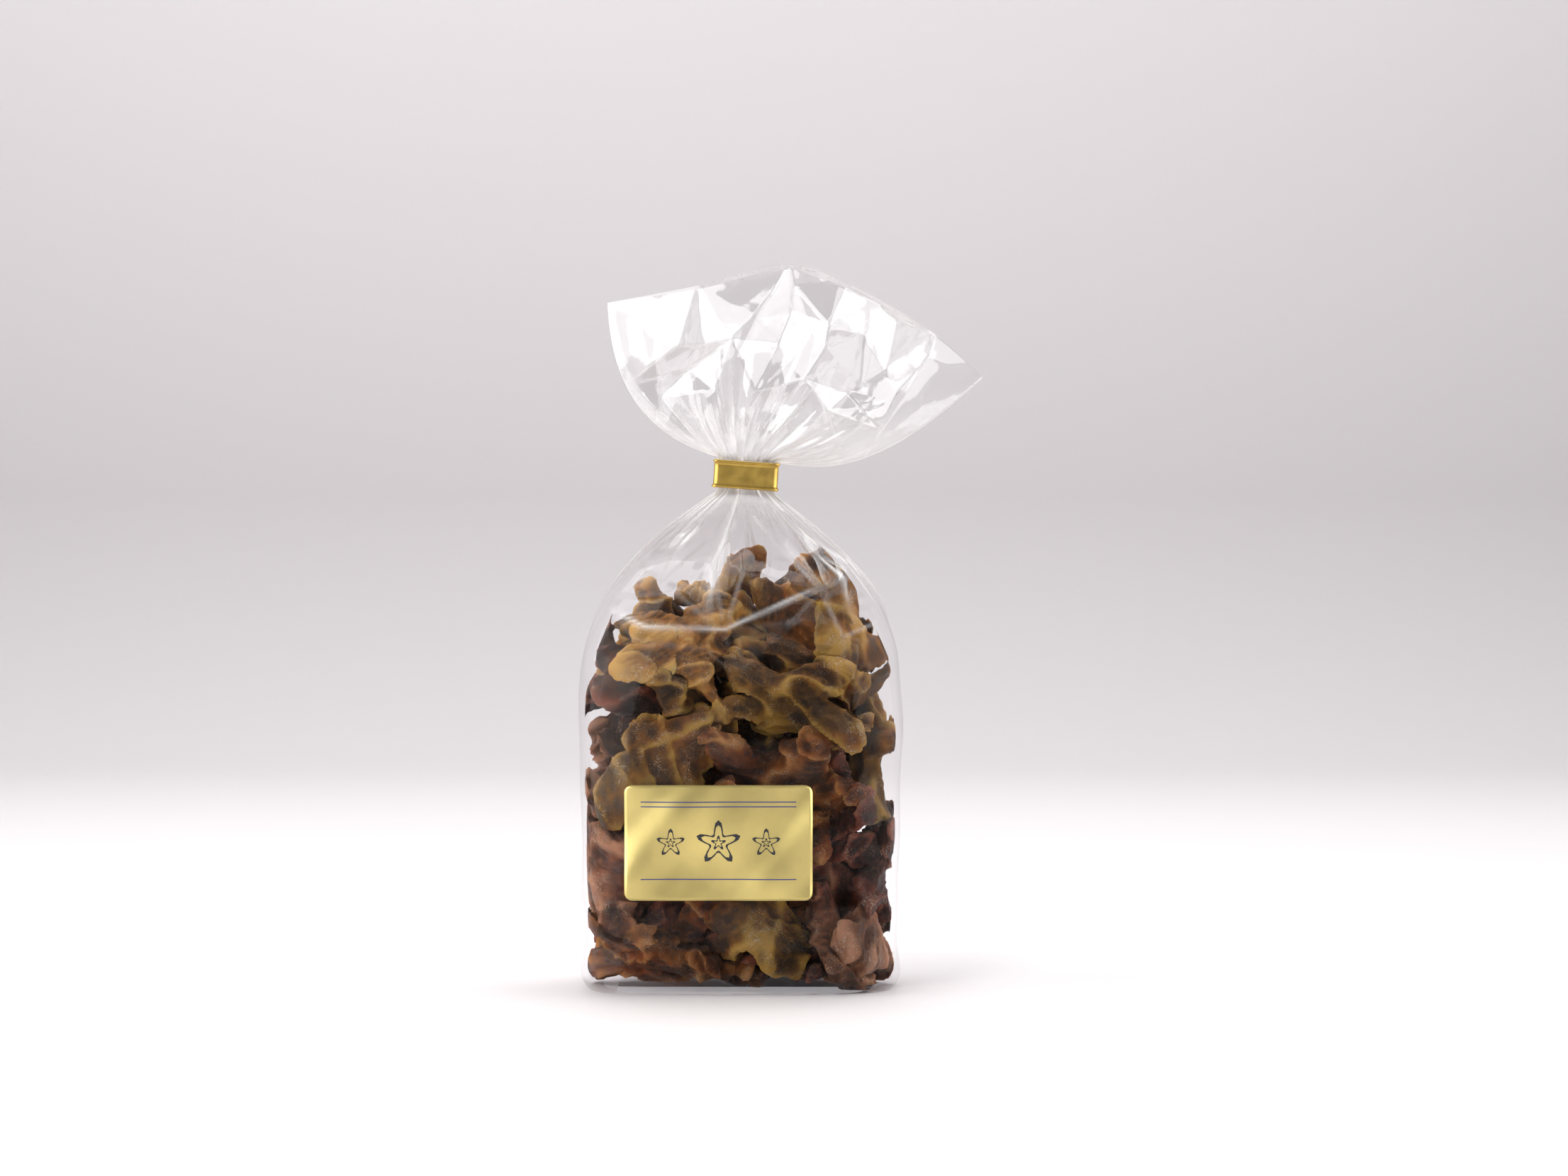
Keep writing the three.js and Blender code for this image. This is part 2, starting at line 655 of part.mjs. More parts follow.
function nearPairs(balls, reach) {
  const cells = new Map();
  const keyOf = (x, y, z) => (x + 512) * 1048576 + (y + 512) * 1024 + (z + 512);
  balls.forEach((ball, index) => {
    const key = keyOf(...[ball.x, ball.y, ball.z].map((v) => Math.floor(v / reach)));
    if (!cells.has(key)) cells.set(key, []);
    cells.get(key).push(index);
  });
  const pairs = [];
  balls.forEach((ball, index) => {
    const [x, y, z] = [ball.x, ball.y, ball.z].map((v) => Math.floor(v / reach));
    for (let dx = -1; dx <= 1; dx += 1) {
      for (let dy = -1; dy <= 1; dy += 1) {
        for (let dz = -1; dz <= 1; dz += 1) {
          for (const other of cells.get(keyOf(x + dx, y + dy, z + dz)) || []) {
            const apart = balls[other];
            if (other <= index || apart.slice === ball.slice) continue;
            if (ball.distanceToSquared(apart) < reach * reach) pairs.push(ball, apart);
          }
        }
      }
    }
  });
  return pairs;
}

// Lets the slices fall and come to rest in the bag
function settle(slices) {
  const balls = slices.flatMap((slice) => slice.balls);
  const shift = new THREE.Vector3();
  for (let step = 0; step < SETTLE.steps; step += 1) {
    const calm = step > SETTLE.calm;
    const pull = calm ? 0 : SETTLE.gravity;
    for (const ball of balls) {
      shift.copy(ball).sub(ball.last).multiplyScalar(calm ? 0 : SETTLE.drag);
      shift.z = Math.min(shift.z, 0);
      shift.clampLength(0, SETTLE.fastest);
      ball.last.copy(ball);
      ball.add(shift);
      ball.z -= pull;
    }
    const closed = smoothstep(step, ...SETTLE.closing);
    const pairs = nearPairs(balls, SLICE.thickness[1] + 2 * BALL.margin + SETTLE.lookAhead);
    for (let pass = 0; pass < SETTLE.passes; pass += 1) {
      for (let k = 0; k < pairs.length; k += 2) {
        const a = pairs[k];
        const b = pairs[k + 1];
        const wanted = a.size + b.size;
        shift.copy(a).sub(b);
        const distance = shift.length() || 1e-6;
        if (distance >= wanted) continue;
        shift.multiplyScalar(((wanted - distance) * 0.5) / distance);
        a.add(shift);
        b.sub(shift);
      }
      for (const slice of slices) {
        for (const ball of slice.balls) holdInside(ball, ball.size, closed);
        slice.place.set(0, 0, 0);
        for (const ball of slice.balls) slice.place.add(ball);
        slice.place.divideScalar(slice.balls.length);
        const columns = [new THREE.Vector3(), new THREE.Vector3(), new THREE.Vector3()];
        for (const ball of slice.balls) {
          shift.copy(ball).sub(slice.place);
          columns[0].addScaledVector(shift, ball.home.x);
          columns[1].addScaledVector(shift, ball.home.y);
          columns[2].addScaledVector(shift, ball.home.z);
        }
        fitRotation(slice.rotation, columns);
        for (const ball of slice.balls) {
          ball.copy(ball.home).applyQuaternion(slice.rotation).add(slice.place);
        }
      }
    }
  }
}

function settledSlices() {
  const random = randomFrom(SEED);
  const slices = Array.from({ length: SLICE_COUNT }, (_, index) => {
    const form = sliceForm(random);
    const homes = ballsOf(form);
    const middle = homes.reduce((sum, p) => sum.add(p), new THREE.Vector3()).divideScalar(homes.length);
    const turnOf = (share) => lerp(-share, share, random());
    const rotation = new THREE.Quaternion().setFromEuler(
      new THREE.Euler(turnOf(DROP.tilt), turnOf(DROP.tilt), turnOf(Math.PI)),
    );
    const side = index % 2 ? 1 : -1;
    const place = new THREE.Vector3(side * DROP.aside, 0, DROP.lowest + index * DROP.spacing);
    const balls = homes.map((home) => {
      const ball = home.clone().sub(middle).applyQuaternion(rotation).add(place);
      ball.home = home.clone().sub(middle);
      ball.last = ball.clone();
      ball.size = form.thickness / 2 + BALL.margin;
      ball.slice = index;
      return ball;
    });
    return { form, middle, rotation, place, balls };
  });
  settle(slices);
  return slices;
}

// Where a slice still presses into the film or an earlier slice, it gives way and leaves a gap
function trimSlices(slices) {
  const hollow = makeHollow();
  const solids = [];
  for (const { form, middle, rotation, place } of slices) {
    const placed = (grown) =>
      solidOf(
        makeSlice(form, grown)
          .translate(-middle.x, -middle.y, -middle.z)
          .applyQuaternion(rotation)
          .translate(place.x, place.y, place.z),
      );
    let solid = placed(0);
    if (solid.subtract(hollow).volume() > 0) solid = solid.intersect(hollow);
    for (const earlier of solids) {
      if (solid.intersect(earlier.solid).volume() > 0) solid = solid.subtract(earlier.grown);
    }
    const [largest] = solid.decompose().sort((a, b) => b.volume() - a.volume());
    solids.push({ solid: largest, grown: placed(TRIM_GAP), place });
  }
  return solids;
}

// Assembly

const filmMaterial = new THREE.MeshStandardMaterial({
  color: 0xf4f2f5,
  roughness: 0.08,
  metalness: 0,
  transparent: true,
  opacity: 0.25,
});
const goldMaterial = new THREE.MeshStandardMaterial({ color: 0xa5862c, roughness: 0.38, metalness: 0.8 });
const labelMaterial = new THREE.MeshStandardMaterial({ color: 0xc9b968, roughness: 0.35, metalness: 0.45 });
const fleshMaterials = Object.fromEntries(
  Object.entries(FLESH).map(([tone, color]) => [
    tone,
    new THREE.MeshStandardMaterial({ name: tone, color, roughness: 0.55, metalness: 0 }),
  ]),
);

function toneAt(place) {
  const holds = ([low, high], value) => value >= low && value < high;
  return TONE_PLACES.find(({ x, z }) => holds(x, place.x) && holds(z, place.z)).tone;
}

function named(name, geometry, material) {
  const mesh = new THREE.Mesh(geometry, material);
  mesh.name = name;
  return mesh;
}

const bag = new THREE.Group();
bag.add(named('film_bag', makeFilmBag(), filmMaterial));

const clipBand = named('clip_band', makeClipBand(), goldMaterial);
clipBand.position.set(CLIP.x, 0, CLIP.z);
clipBand.rotation.y = clipTilt;
bag.add(clipBand);

bag.add(named('label', makeLabel(), labelMaterial));

const heap = new THREE.Group();
trimSlices(settledSlices()).forEach(({ solid, place }, index) => {
  const name = `slice_${String(index + 1).padStart(2, '0')}`;
  heap.add(named(name, geometryFrom(solid), fleshMaterials[toneAt(place)]));
});
bag.add(heap);

export default bag;
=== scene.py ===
import json
import math

import bmesh
import bpy
import numpy as np
from mathutils import Matrix, Vector
from mathutils.geometry import delaunay_2d_cdt


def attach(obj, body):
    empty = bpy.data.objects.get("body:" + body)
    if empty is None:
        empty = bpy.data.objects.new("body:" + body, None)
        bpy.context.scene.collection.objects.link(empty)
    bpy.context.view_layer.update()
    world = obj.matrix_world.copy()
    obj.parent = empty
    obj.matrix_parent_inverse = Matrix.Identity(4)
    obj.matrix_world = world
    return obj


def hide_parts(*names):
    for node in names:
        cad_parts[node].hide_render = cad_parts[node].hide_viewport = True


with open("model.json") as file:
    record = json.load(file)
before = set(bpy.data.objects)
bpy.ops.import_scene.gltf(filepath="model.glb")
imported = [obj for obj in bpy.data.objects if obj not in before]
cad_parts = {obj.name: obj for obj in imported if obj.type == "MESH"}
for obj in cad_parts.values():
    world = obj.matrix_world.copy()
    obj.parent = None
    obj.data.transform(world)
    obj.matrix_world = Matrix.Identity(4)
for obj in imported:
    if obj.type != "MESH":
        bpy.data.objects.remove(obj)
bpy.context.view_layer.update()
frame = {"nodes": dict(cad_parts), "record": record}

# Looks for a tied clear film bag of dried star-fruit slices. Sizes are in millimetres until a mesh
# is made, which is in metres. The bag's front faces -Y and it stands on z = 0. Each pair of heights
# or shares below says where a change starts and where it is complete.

MM = 0.001
SEED = 11

# Film bag, with the same outline as its solid
BODY_COLUMNS = 400
BODY_ROWS = 200
BASE_RINGS = 12
FAN_COLUMNS = 560
FAN_ROWS = 150
NECK_ROWS = 6
SECTION_Z = [0, 1.2, 14, 50, 84, 99, 111, 122, 131, 139.4]
SECTION_HALF_WIDTH = [41.6, 42.8, 43.8, 44.8, 45, 43.2, 38.2, 29.6, 19.4, 8.3]
SECTION_HALF_DEPTH = [24.4, 25.6, 26.6, 27.2, 26.8, 24, 19, 13.2, 8, 3.1]
SECTION_SQUARENESS = [7, 7, 6.5, 5.5, 4.6, 3.8, 3.1, 2.6, 2.2, 2]
BODY_TOP = 139.7
SHOULDER = {"from": 88, "risen": 113, "depth": 2}
GATHER = (117, 139)
LEAN = (100, 140)
FACE = (0.55, 0.8)
FOLDS = {"fine": 14, "broad": 5}
BULGE = 0.4
BULGE_STARTS = (2, 14)
BULGE_ENDS = (88, 104)
NECK = {"half_width": 8.3, "half_depth": 3.1, "pleats": 21, "pleat_depth": 0.6, "beyond_clip": 0.4}
PLEATED = (122, 137)
CLIP = {"width": 18.4, "depth": 8.2, "height": 7.8, "x": 1.5, "z": 144, "tilt": math.radians(3.9)}
HALF_CLIP = CLIP["height"] / 2
MOUTH_EDGE = [(-37.8, 192.4), (-12, 197.6), (13.8, 203.6), (36, 195.4), (54.2, 184.2), (68.4, 171.2)]
MOUTH_OPENING = 9
FRONT_EDGE_DROP = 2.4
FAN_BALLOON = {"near_clip": 8, "near_edge": 12.5}
FAN_FOLD_DEPTH = {"fine": 1.3, "broad": 1.2, "pleat": 0.9}
FAN_RANGE = {
    "merge": (0.1, 0.6),
    "pleats start": (0, 0.08),
    "pleats end": (0.02, 0.34),
    "grow": (0.02, 0.3),
}
FAN_EDGE = {"facets": (0.02, 0.3), "crumple": (0.05, 0.4)}
LEAVE = {"left": 165, "right": -14, "reach": 19}
ARRIVE = {"left": 92, "middle": 84, "right": 42}
ARRIVE_REACH = {"left": 27, "middle": 22, "right": 34}
NET_DEPTH = {"fan": 1.35, "shoulder": 2.6}
STREAKS = {
    "fan": {"count": 30, "longest": 1.0, "depth": 0.8},
    "shoulder": {"count": 30, "longest": 48, "depth": 1.5},
}
STREAK_WIDTH = (0.035, 0.075)
STREAK_DRIFT = 0.3
LEAST_STREAK = 0.25
STREAKED = (90, 104)

# Creased film: points as (x, z, how far the film stands out there), and the creases between them
FAN_FRONT = {
    "left corner": (-37.8, 192.4, 0),
    "left low": (-36.7, 179.9, 0),
    "panel bottom": (-32.7, 169.2, 0.6),
    "edge low": (-23.7, 159.5, 0.4),
    "edge lower": (-11.7, 152.9, 0.2),
    "neck left": (-5, 149, 0),
    "neck right": (9.6, 148.4, 0),
    "bottom": (23.7, 145.6, 0),
    "panel foot": (33.7, 146.4, 0.4),
    "edge right low": (55, 160, 0),
    "right corner": (68.4, 171.2, 0),
    "edge kink": (54.6, 183.6, 1.4),
    "edge high": (30, 198.5, 1),
    "peak": (13.8, 203.6, 2.4),
    "edge left": (-12, 197.6, 0.4),
    "crease start": (-17.7, 179.9, 3.4),
    "upper star": (-9.7, 180.5, 2.2),
    "star": (-13.7, 173.9, -2.6),
    "ridge mid": (-2.3, 182.4, 3.6),
    "ridge bend": (3.7, 188.4, 3.9),
    "ridge high": (8.9, 194.6, 3.4),
    "valley high": (14.7, 197.2, -0.4),
    "valley mid": (14.2, 189.9, -2.4),
    "valley low": (10.7, 181.2, -1.4),
    "ridge low": (3.7, 167.2, 2.2),
    "ridge foot": (0.3, 158.4, 0.8),
    "band": (24.7, 185.6, 2.8),
    "apex": (43.7, 188.5, -2.2),
    "line high": (33.7, 184.2, 0.4),
    "line mid": (23.7, 179.6, 2.2),
    "line low": (17.7, 170.9, 2.4),
    "panel top": (52.6, 177.2, 2.8),
    "panel mid": (44.3, 167.2, 3.4),
    "panel low": (39, 156.9, 2.4),
    "dimple": (29.7, 167.2, -1.8),
    "crescent": (40.4, 172.9, 0.6),
    "fold right": (24.3, 162.2, 1.8),
    "fold low": (27.7, 151.5, 1.2),
    "fold middle": (11.3, 163.9, -0.8),
    "fold left": (-7, 167.9, 1.2),
    "fold left low": (-4.6, 156.9, 0.9),
    "hollow left": (-22, 166, -1.2),
}
FAN_FRONT_CREASES = [
    ("panel bottom", "crease start", "upper star"),
    ("peak", "ridge high", "ridge bend", "ridge mid", "upper star"),
    ("peak", "valley high", "valley mid", "valley low", "ridge low", "ridge foot"),
    ("valley low", "band", "apex", "line high", "line mid", "line low", "fold middle"),
    ("edge high", "apex", "edge kink", "panel top", "panel mid", "panel low", "panel foot"),
    ("star", "panel bottom"),
    ("star", "upper star"),
    ("star", "ridge mid"),
    ("star", "fold left", "fold left low"),
    ("star", "hollow left", "edge low"),
    ("fold right", "panel low"),
    ("fold right", "fold low"),
    ("dimple", "crescent"),
    ("dimple", "line low"),
    ("dimple", "panel mid"),
    ("dimple", "fold right"),
]
FAN_BACK = {
    "left corner": (-37.8, 192.4, 0),
    "left bulge": (-34.4, 170, 0),
    "left low": (-21.4, 156.6, 0),
    "neck left": (-6.5, 148.5, 0),
    "neck right": (10, 148, 0),
    "low right": (33, 146.8, 0),
    "right corner": (68.4, 171.2, 0),
    "edge right": (54.2, 184.2, 0),
    "edge high": (36, 195.4, 2),
    "peak": (13.8, 203.6, 1),
    "edge left": (-12, 197.6, 2.4),
    "left panel": (-24, 182, -1.6),
    "middle": (-2, 178, 3),
    "low middle": (2, 163, -1),
    "hollow": (20, 184, -2.8),
    "shelf": (34, 170, 2.8),
    "right panel": (50, 172, -1),
    "low shelf": (24, 158, 1),
    "left shelf": (-18, 168, 1.6),
}
FAN_BACK_CREASES = [
    ("peak", "hollow", "low middle"),
    ("edge left", "middle", "low middle"),
    ("middle", "left panel", "left low"),
    ("edge high", "shelf", "low shelf"),
    ("hollow", "shelf", "right panel", "low right"),
]
SHOULDER_FRONT = {
    "far left": (-46, 90, 0),
    "far right": (46, 90, 0),
    "low middle": (0, 88, 0),
    "left foot": (-35, 106.5, 0.9),
    "pocket left": (-26.2, 102.4, 1.3),
    "pocket right": (-3.9, 101.8, 1.5),
    "pocket end": (21.6, 113.3, 1.7),
    "pocket drop": (28.6, 99.5, 0.8),
    "right flare": (37.4, 103.2, 0.7),
    "under left": (-30, 99, -0.3),
    "under middle": (-10, 96, -0.3),
    "under right": (16, 104, -0.4),
    "streak low": (-19.2, 111.3, -0.8),
    "streak mid": (-7.5, 120.2, 1.3),
    "streak top": (-1.6, 130.5, 0.3),
    "left ridge": (-33.3, 110, -0.4),
    "left ridge top": (-12.1, 129, 0.6),
    "left slope": (-21, 120, 0.9),
    "right ridge": (10.7, 124, 1.3),
    "right ridge top": (3.7, 132.6, 0.2),
    "right streak": (31.3, 119, 1.2),
    "right streak top": (10.8, 131.4, 0.2),
    "far streak": (37.7, 108, 0.3),
    "right hollow": (22, 122.5, -0.9),
    "crown": (0, 117, -0.7),
    "rim left": (-46, 112, 0),
    "rim right": (46, 112, 0),
    "neck left": (-10, 139, 0),
    "neck right": (12, 138, 0),
}
SHOULDER_FRONT_CREASES = [
    ("left foot", "pocket left", "pocket right", "pocket end", "pocket drop", "right flare"),
    ("streak low", "streak mid", "streak top"),
    ("left ridge", "left slope", "left ridge top"),
    ("pocket end", "right ridge", "right ridge top"),
    ("far streak", "right streak", "right streak top"),
]
WAIST_CREASE = {"z": 25.5, "sag": 1.2, "depth": 0.45, "width": 2.2}
CRUMPLE = {"body": 0.2, "shoulder": 1.25, "fan": 0.6}
FACET_SPACING = {"body": 9, "fan": 7.2}
FACET_SHARE = {"coarse": 0.68, "fine": 0.32}
FACET_JITTER = 0.42
SHEET = {"around": 240, "body": 140, "fan": 70}
BACK_SEAM = {"edge": (3.6, 4), "rise": 0.28}
FILM_SHINE = {"body": 0.009, "mouth": 0.1, "edge on": 0.4}
# Heights in metres between which the film's shine grows from the body's to the mouth's
SHINE_RISES = (0.108, 0.14)
# How white the film is painted: a light haze, a painted sheen where layers gather at the neck, and
# painted glints on sharp creases, crease lines and streaks
HAZE_AND_PAINTED_GLINTS = {"body": 0.001, "fan": 0.06, "neck": 0.48, "crease": 0.3, "line": 0.45, "streak": 0.44}
PAINTED_GLINTS_FROM = {"crease": (84, 138), "streak": (92, 106)}
GATHERED_HAZE_REACH = {"above": 26, "below": 14, "fan": 4}
MOST_WHITE = 0.8
GLINT_LINE_WIDTH = 0.5
SHARP = (0.05, 0.18)
NECK_LAYERS = {"count": 4, "columns": 160, "rows": 12, "below": 3.4, "above": 3.6, "turn": 0.21}
LAYER_SIZE = {"first": 0.96, "step": 0.19, "flare": 0.12, "flare_reach": 4}
LAYER_FADE = (-0.6, 2.6)

# Clip band
BAND = {"corner": 1.1, "inset": 0.3, "gap": 0.5, "bead": 0.42, "sheet": 0.16, "spacing": 0.22}
BAND_SHAPE = {"flare": 0.22, "dent": 0.12, "dent_width": 5, "taller": 0.02}

# Label
LABEL = {"width": 52, "height": 32, "corner": 2.2, "sheet": 0.3, "x": -5.9, "z": 42.8, "gap": 0.4}
LABEL_COLUMNS = 60
LABEL_ROWS = 36
LABEL_WAVE = 0.42
STIFFENED = (0.5, 5)
INK_HEIGHT = 0.04
BLUE_INK = 1
DARK_INK = 2
RULES = {"levels": (11.2, 9.9, -10.2), "thick": 0.28, "margin": 4.5, "parts": 40}
STARS = ((-13.2, 4.1), (0, 6.4), (13.2, 4.1))
STAR = {"points": 40, "waist": 0.42, "arm": 0.58, "sharp": 1.6, "inside": 0.78, "ring": 0.34, "core": 0.2}

# Slices
SLICE_VOXEL = 0.62
SLICE_CLEARANCE = 0.9
SLICE_GROWTH = 1.15
SLICE_STRETCH = [1.08, 1.04, 1]
SLICE_SOFTENING = {"passes": 4, "share": 0.6}
SETTLING = {"range": (70, 118), "drop": 3.4}
LOWEST_FRUIT = 0.8
PRESSED_FROM = 0.92
UNDER_SHOULDER = {"range": (84, 104), "spare": 1.6}
BENDS = ((4.6, 19, 3), (1.5, 8, 7))
RELIEF = {"swell": 0.55, "lumps": 0.4, "folds": 2.3, "wrinkles": 0.5, "pits": 0.2}
CREST = {"least": 0.12, "folds": 0.7, "wrinkles": 0.35, "lumps": 0.2}

# Colours
GOLD = (0.56, 0.37, 0.085)
PALE_GOLD = (0.66, 0.53, 0.19)
BLUE = (0.02, 0.03, 0.2)
NEAR_BLACK = (0.012, 0.012, 0.016)
SUGAR = (0.48, 0.27, 0.13)
SUGAR_GRAIN = (0.82, 0.72, 0.56)
REDDER = (1.15, 0.84, 0.8)
GREENER = (1.0, 1.05, 0.7)
# Each flesh's darkest and lightest colour, and the colour of the painted highlight on its ridges
FLESH = {
    "flesh_amber": ((0.055, 0.016, 0.004), (0.34, 0.115, 0.022), (0.62, 0.29, 0.085)),
    "flesh_olive": ((0.045, 0.018, 0.003), (0.25, 0.11, 0.01), (0.55, 0.32, 0.055)),
    "flesh_red": ((0.02, 0.005, 0.003), (0.13, 0.027, 0.014), (0.32, 0.095, 0.048)),
    "flesh_honey": ((0.1, 0.036, 0.006), (0.44, 0.19, 0.026), (0.72, 0.42, 0.11)),
    "flesh_pink": ((0.055, 0.017, 0.01), (0.32, 0.115, 0.06), (0.56, 0.27, 0.15)),
}

# Floor, light and camera. Sizes of floor and lights are in metres
FLOOR = {"front": -0.5, "bend": 0.75, "radius": 0.5, "top": 3, "half": 3}
# The floor's own tone, then painted shade low on the backdrop and painted light higher up, and the
# heights in metres where these change
STAGE_TONES_AND_PAINTED_FALLOFF = ((0.68, 0.655, 0.66), (0.61, 0.58, 0.59), (0.93, 0.89, 0.905))
PAINTED_FALLOFF_HEIGHTS = (0, 0.12, 0.4)
LIGHT_TARGET = (0, 0, 0.11)
SKY_COLOR = (0.92, 0.9, 0.93, 1)
SKY_RAMP = {"From Min": -0.7, "From Max": 0.2, "To Min": 0.06, "To Max": 0.7}
CAMERA = {"target": (12.2, 0, 112.2), "elevation": math.radians(2.2), "distance": 1228}
LENS = {"length": 100, "sensor": 36}


def lerp(a, b, t):
    return a + (b - a) * t


def smoothstep(x, low, high):
    t = np.clip((x - low) / (high - low), 0, 1)
    return t * t * (3 - 2 * t)


def triangle_wave(turns):
    return 1 - 4 * np.abs(turns - np.floor(turns) - 0.5)


def hermite(x, knots, values):
    """A smooth curve through the values at the knots."""
    knots = np.asarray(knots, float)
    values = np.asarray(values, float)
    slopes = np.gradient(values, knots)
    k = np.clip(np.searchsorted(knots, x) - 1, 0, len(knots) - 2)
    span = knots[k + 1] - knots[k]
    t = np.clip((x - knots[k]) / span, 0, 1)
    t2, t3 = t * t, t * t * t
    return (
        (2 * t3 - 3 * t2 + 1) * values[k]
        + (t3 - 2 * t2 + t) * span * slopes[k]
        + (3 * t2 - 2 * t3) * values[k + 1]
        + (t3 - t2) * span * slopes[k + 1]
    )


def walked_along(path):
    """The distance walked along a path up to each of its points."""
    return np.concatenate([[0], np.cumsum(np.linalg.norm(np.diff(path, axis=0), axis=1))])


def lattice_noise(points, size, seed):
    """Smooth random values from -1 to 1 at the points, with bumps about size across."""
    p = points / size + seed * 17.31
    cell = np.floor(p).astype(np.int64)
    t = p - cell
    t = t * t * t * (t * (t * 6 - 15) + 10)
    total = np.zeros(len(p))
    for corner in np.ndindex(2, 2, 2):
        x, y, z = (cell + np.array(corner)).T
        mixed = (x * 73856093) ^ (y * 19349663) ^ (z * 83492791) ^ (seed * 2654435)
        mixed = (mixed ^ (mixed >> 13)) * 1274126177 & 0x7FFFFFFF
        value = ((mixed ^ (mixed >> 16)) & 0xFFFF) / 32767.5 - 1
        weight = np.prod(np.where(corner, t, 1 - t), axis=1)
        total += value * weight
    return total


def net_height(points, creases, x, z):
    """Height at each x, z of a sheet that is flat between the net's points and creased at its edges."""
    names = list(points)
    flat = [Vector(points[name][:2]) for name in names]
    edges = [(names.index(a), names.index(b)) for crease in creases for a, b in zip(crease, crease[1:])]
    corners, _, faces, origins, _, _ = delaunay_2d_cdt(flat, edges, [], 0, 1e-5)
    heights = [points[names[origin[0]]][2] if origin else 0 for origin in origins]
    return facets_height([tuple(c) for c in corners], heights, faces, x, z)


def facets_height(corners, heights, faces, x, z):
    """Height at each x, z of flat triangular faces between the corners, and 0 outside them."""
    result = np.zeros_like(x)
    for face in faces:
        (ax, az), (bx, bz), (cx, cz) = (corners[i] for i in face)
        area = (bx - ax) * (cz - az) - (cx - ax) * (bz - az)
        if abs(area) < 1e-9:
            continue
        near = (x >= min(ax, bx, cx)) & (x <= max(ax, bx, cx))
        near &= (z >= min(az, bz, cz)) & (z <= max(az, bz, cz))
        px, pz = x[near], z[near]
        b = ((px - ax) * (cz - az) - (cx - ax) * (pz - az)) / area
        c = ((bx - ax) * (pz - az) - (px - ax) * (bz - az)) / area
        inside = (b >= -1e-9) & (c >= -1e-9) & (b + c <= 1 + 1e-9)
        value = heights[face[0]] * (1 - b - c) + heights[face[1]] * b + heights[face[2]] * c
        result[near] = np.where(inside, value, result[near])
    return result


def random_facets(random, width, height, spacing, x, z):
    """Heights from -1 to 1 of a crumpled sheet that joins up at x = 0 and x = width."""
    count = max(3, round(width / spacing))
    rows = max(2, round(height / spacing))
    corners, heights = [], []
    for row in range(-1, rows + 2):
        jitter = random.uniform(-FACET_JITTER, FACET_JITTER, (count, 2))
        level = random.uniform(-1, 1, count)
        for turn in (-1, 0, 1):
            for k in range(count):
                u = (k + 0.5 * (row % 2) + jitter[k, 0]) * width / count + turn * width
                if -2 * spacing < u < width + 2 * spacing:
                    corners.append((u, (row + jitter[k, 1]) * height / rows))
                    heights.append(level[k])
    flat = [Vector(c) for c in corners]
    out, _, faces, origins, _, _ = delaunay_2d_cdt(flat, [], [], 0, 1e-5)
    kept = [heights[origin[0]] for origin in origins]
    return facets_height([tuple(c) for c in out], kept, faces, x, z)


def link(made):
    bpy.context.scene.collection.objects.link(made)
    return made


def make_object(name, vertices, faces):
    mesh = bpy.data.meshes.new(name)
    mesh.from_pydata([tuple(v) for v in np.asarray(vertices) * MM], [], faces)
    mesh.update()
    mesh.shade_smooth()
    return link(bpy.data.objects.new(name, mesh))


def add_values(mesh, name, values):
    """Keeps a value for each vertex, which a material can read."""
    mesh.attributes.new(name, "FLOAT", "POINT").data.foreach_set("value", values)


def grid_faces(rows, columns, start=0, closed=True):
    """Four-sided faces of a grid of vertices, whose last column joins its first one if it is closed."""
    faces = []
    for r in range(rows - 1):
        for c in range(columns if closed else columns - 1):
            d = (c + 1) % columns
            low = start + r * columns
            high = low + columns
            faces.append((low + c, low + d, high + d, high + c))
    return faces


# Film bag

def section_at(z):
    """The bag's half width, half depth and squareness at a height."""
    tables = (SECTION_HALF_WIDTH, SECTION_HALF_DEPTH, SECTION_SQUARENESS)
    return [hermite(z, SECTION_Z, values) for values in tables]


def fold_at(angle, folds):
    """Folds round the bag, from -1 to 1."""
    drift = 0.16 * np.sin(2 * angle + 0.7) + 0.1 * np.sin(3 * angle + 2.1)
    return triangle_wave(folds * angle / (2 * math.pi) + drift)


def bulge_at(angle, z):
    """Gentle swells of the body, where the slices push it out."""
    fade = smoothstep(z, *BULGE_STARTS) * (1 - smoothstep(z, *BULGE_ENDS))
    return BULGE * fade * np.sin(3 * angle + 0.09 * z) * np.sin(0.13 * z - 2 * angle)


def under_label(x, z):
    """1 where the label stiffens the front film, fading to 0 around it."""
    beyond_x = np.abs(x - LABEL["x"]) - LABEL["width"] / 2
    beyond_z = np.abs(z - LABEL["z"]) - LABEL["height"] / 2
    return 1 - smoothstep(np.maximum(beyond_x, beyond_z), *STIFFENED)


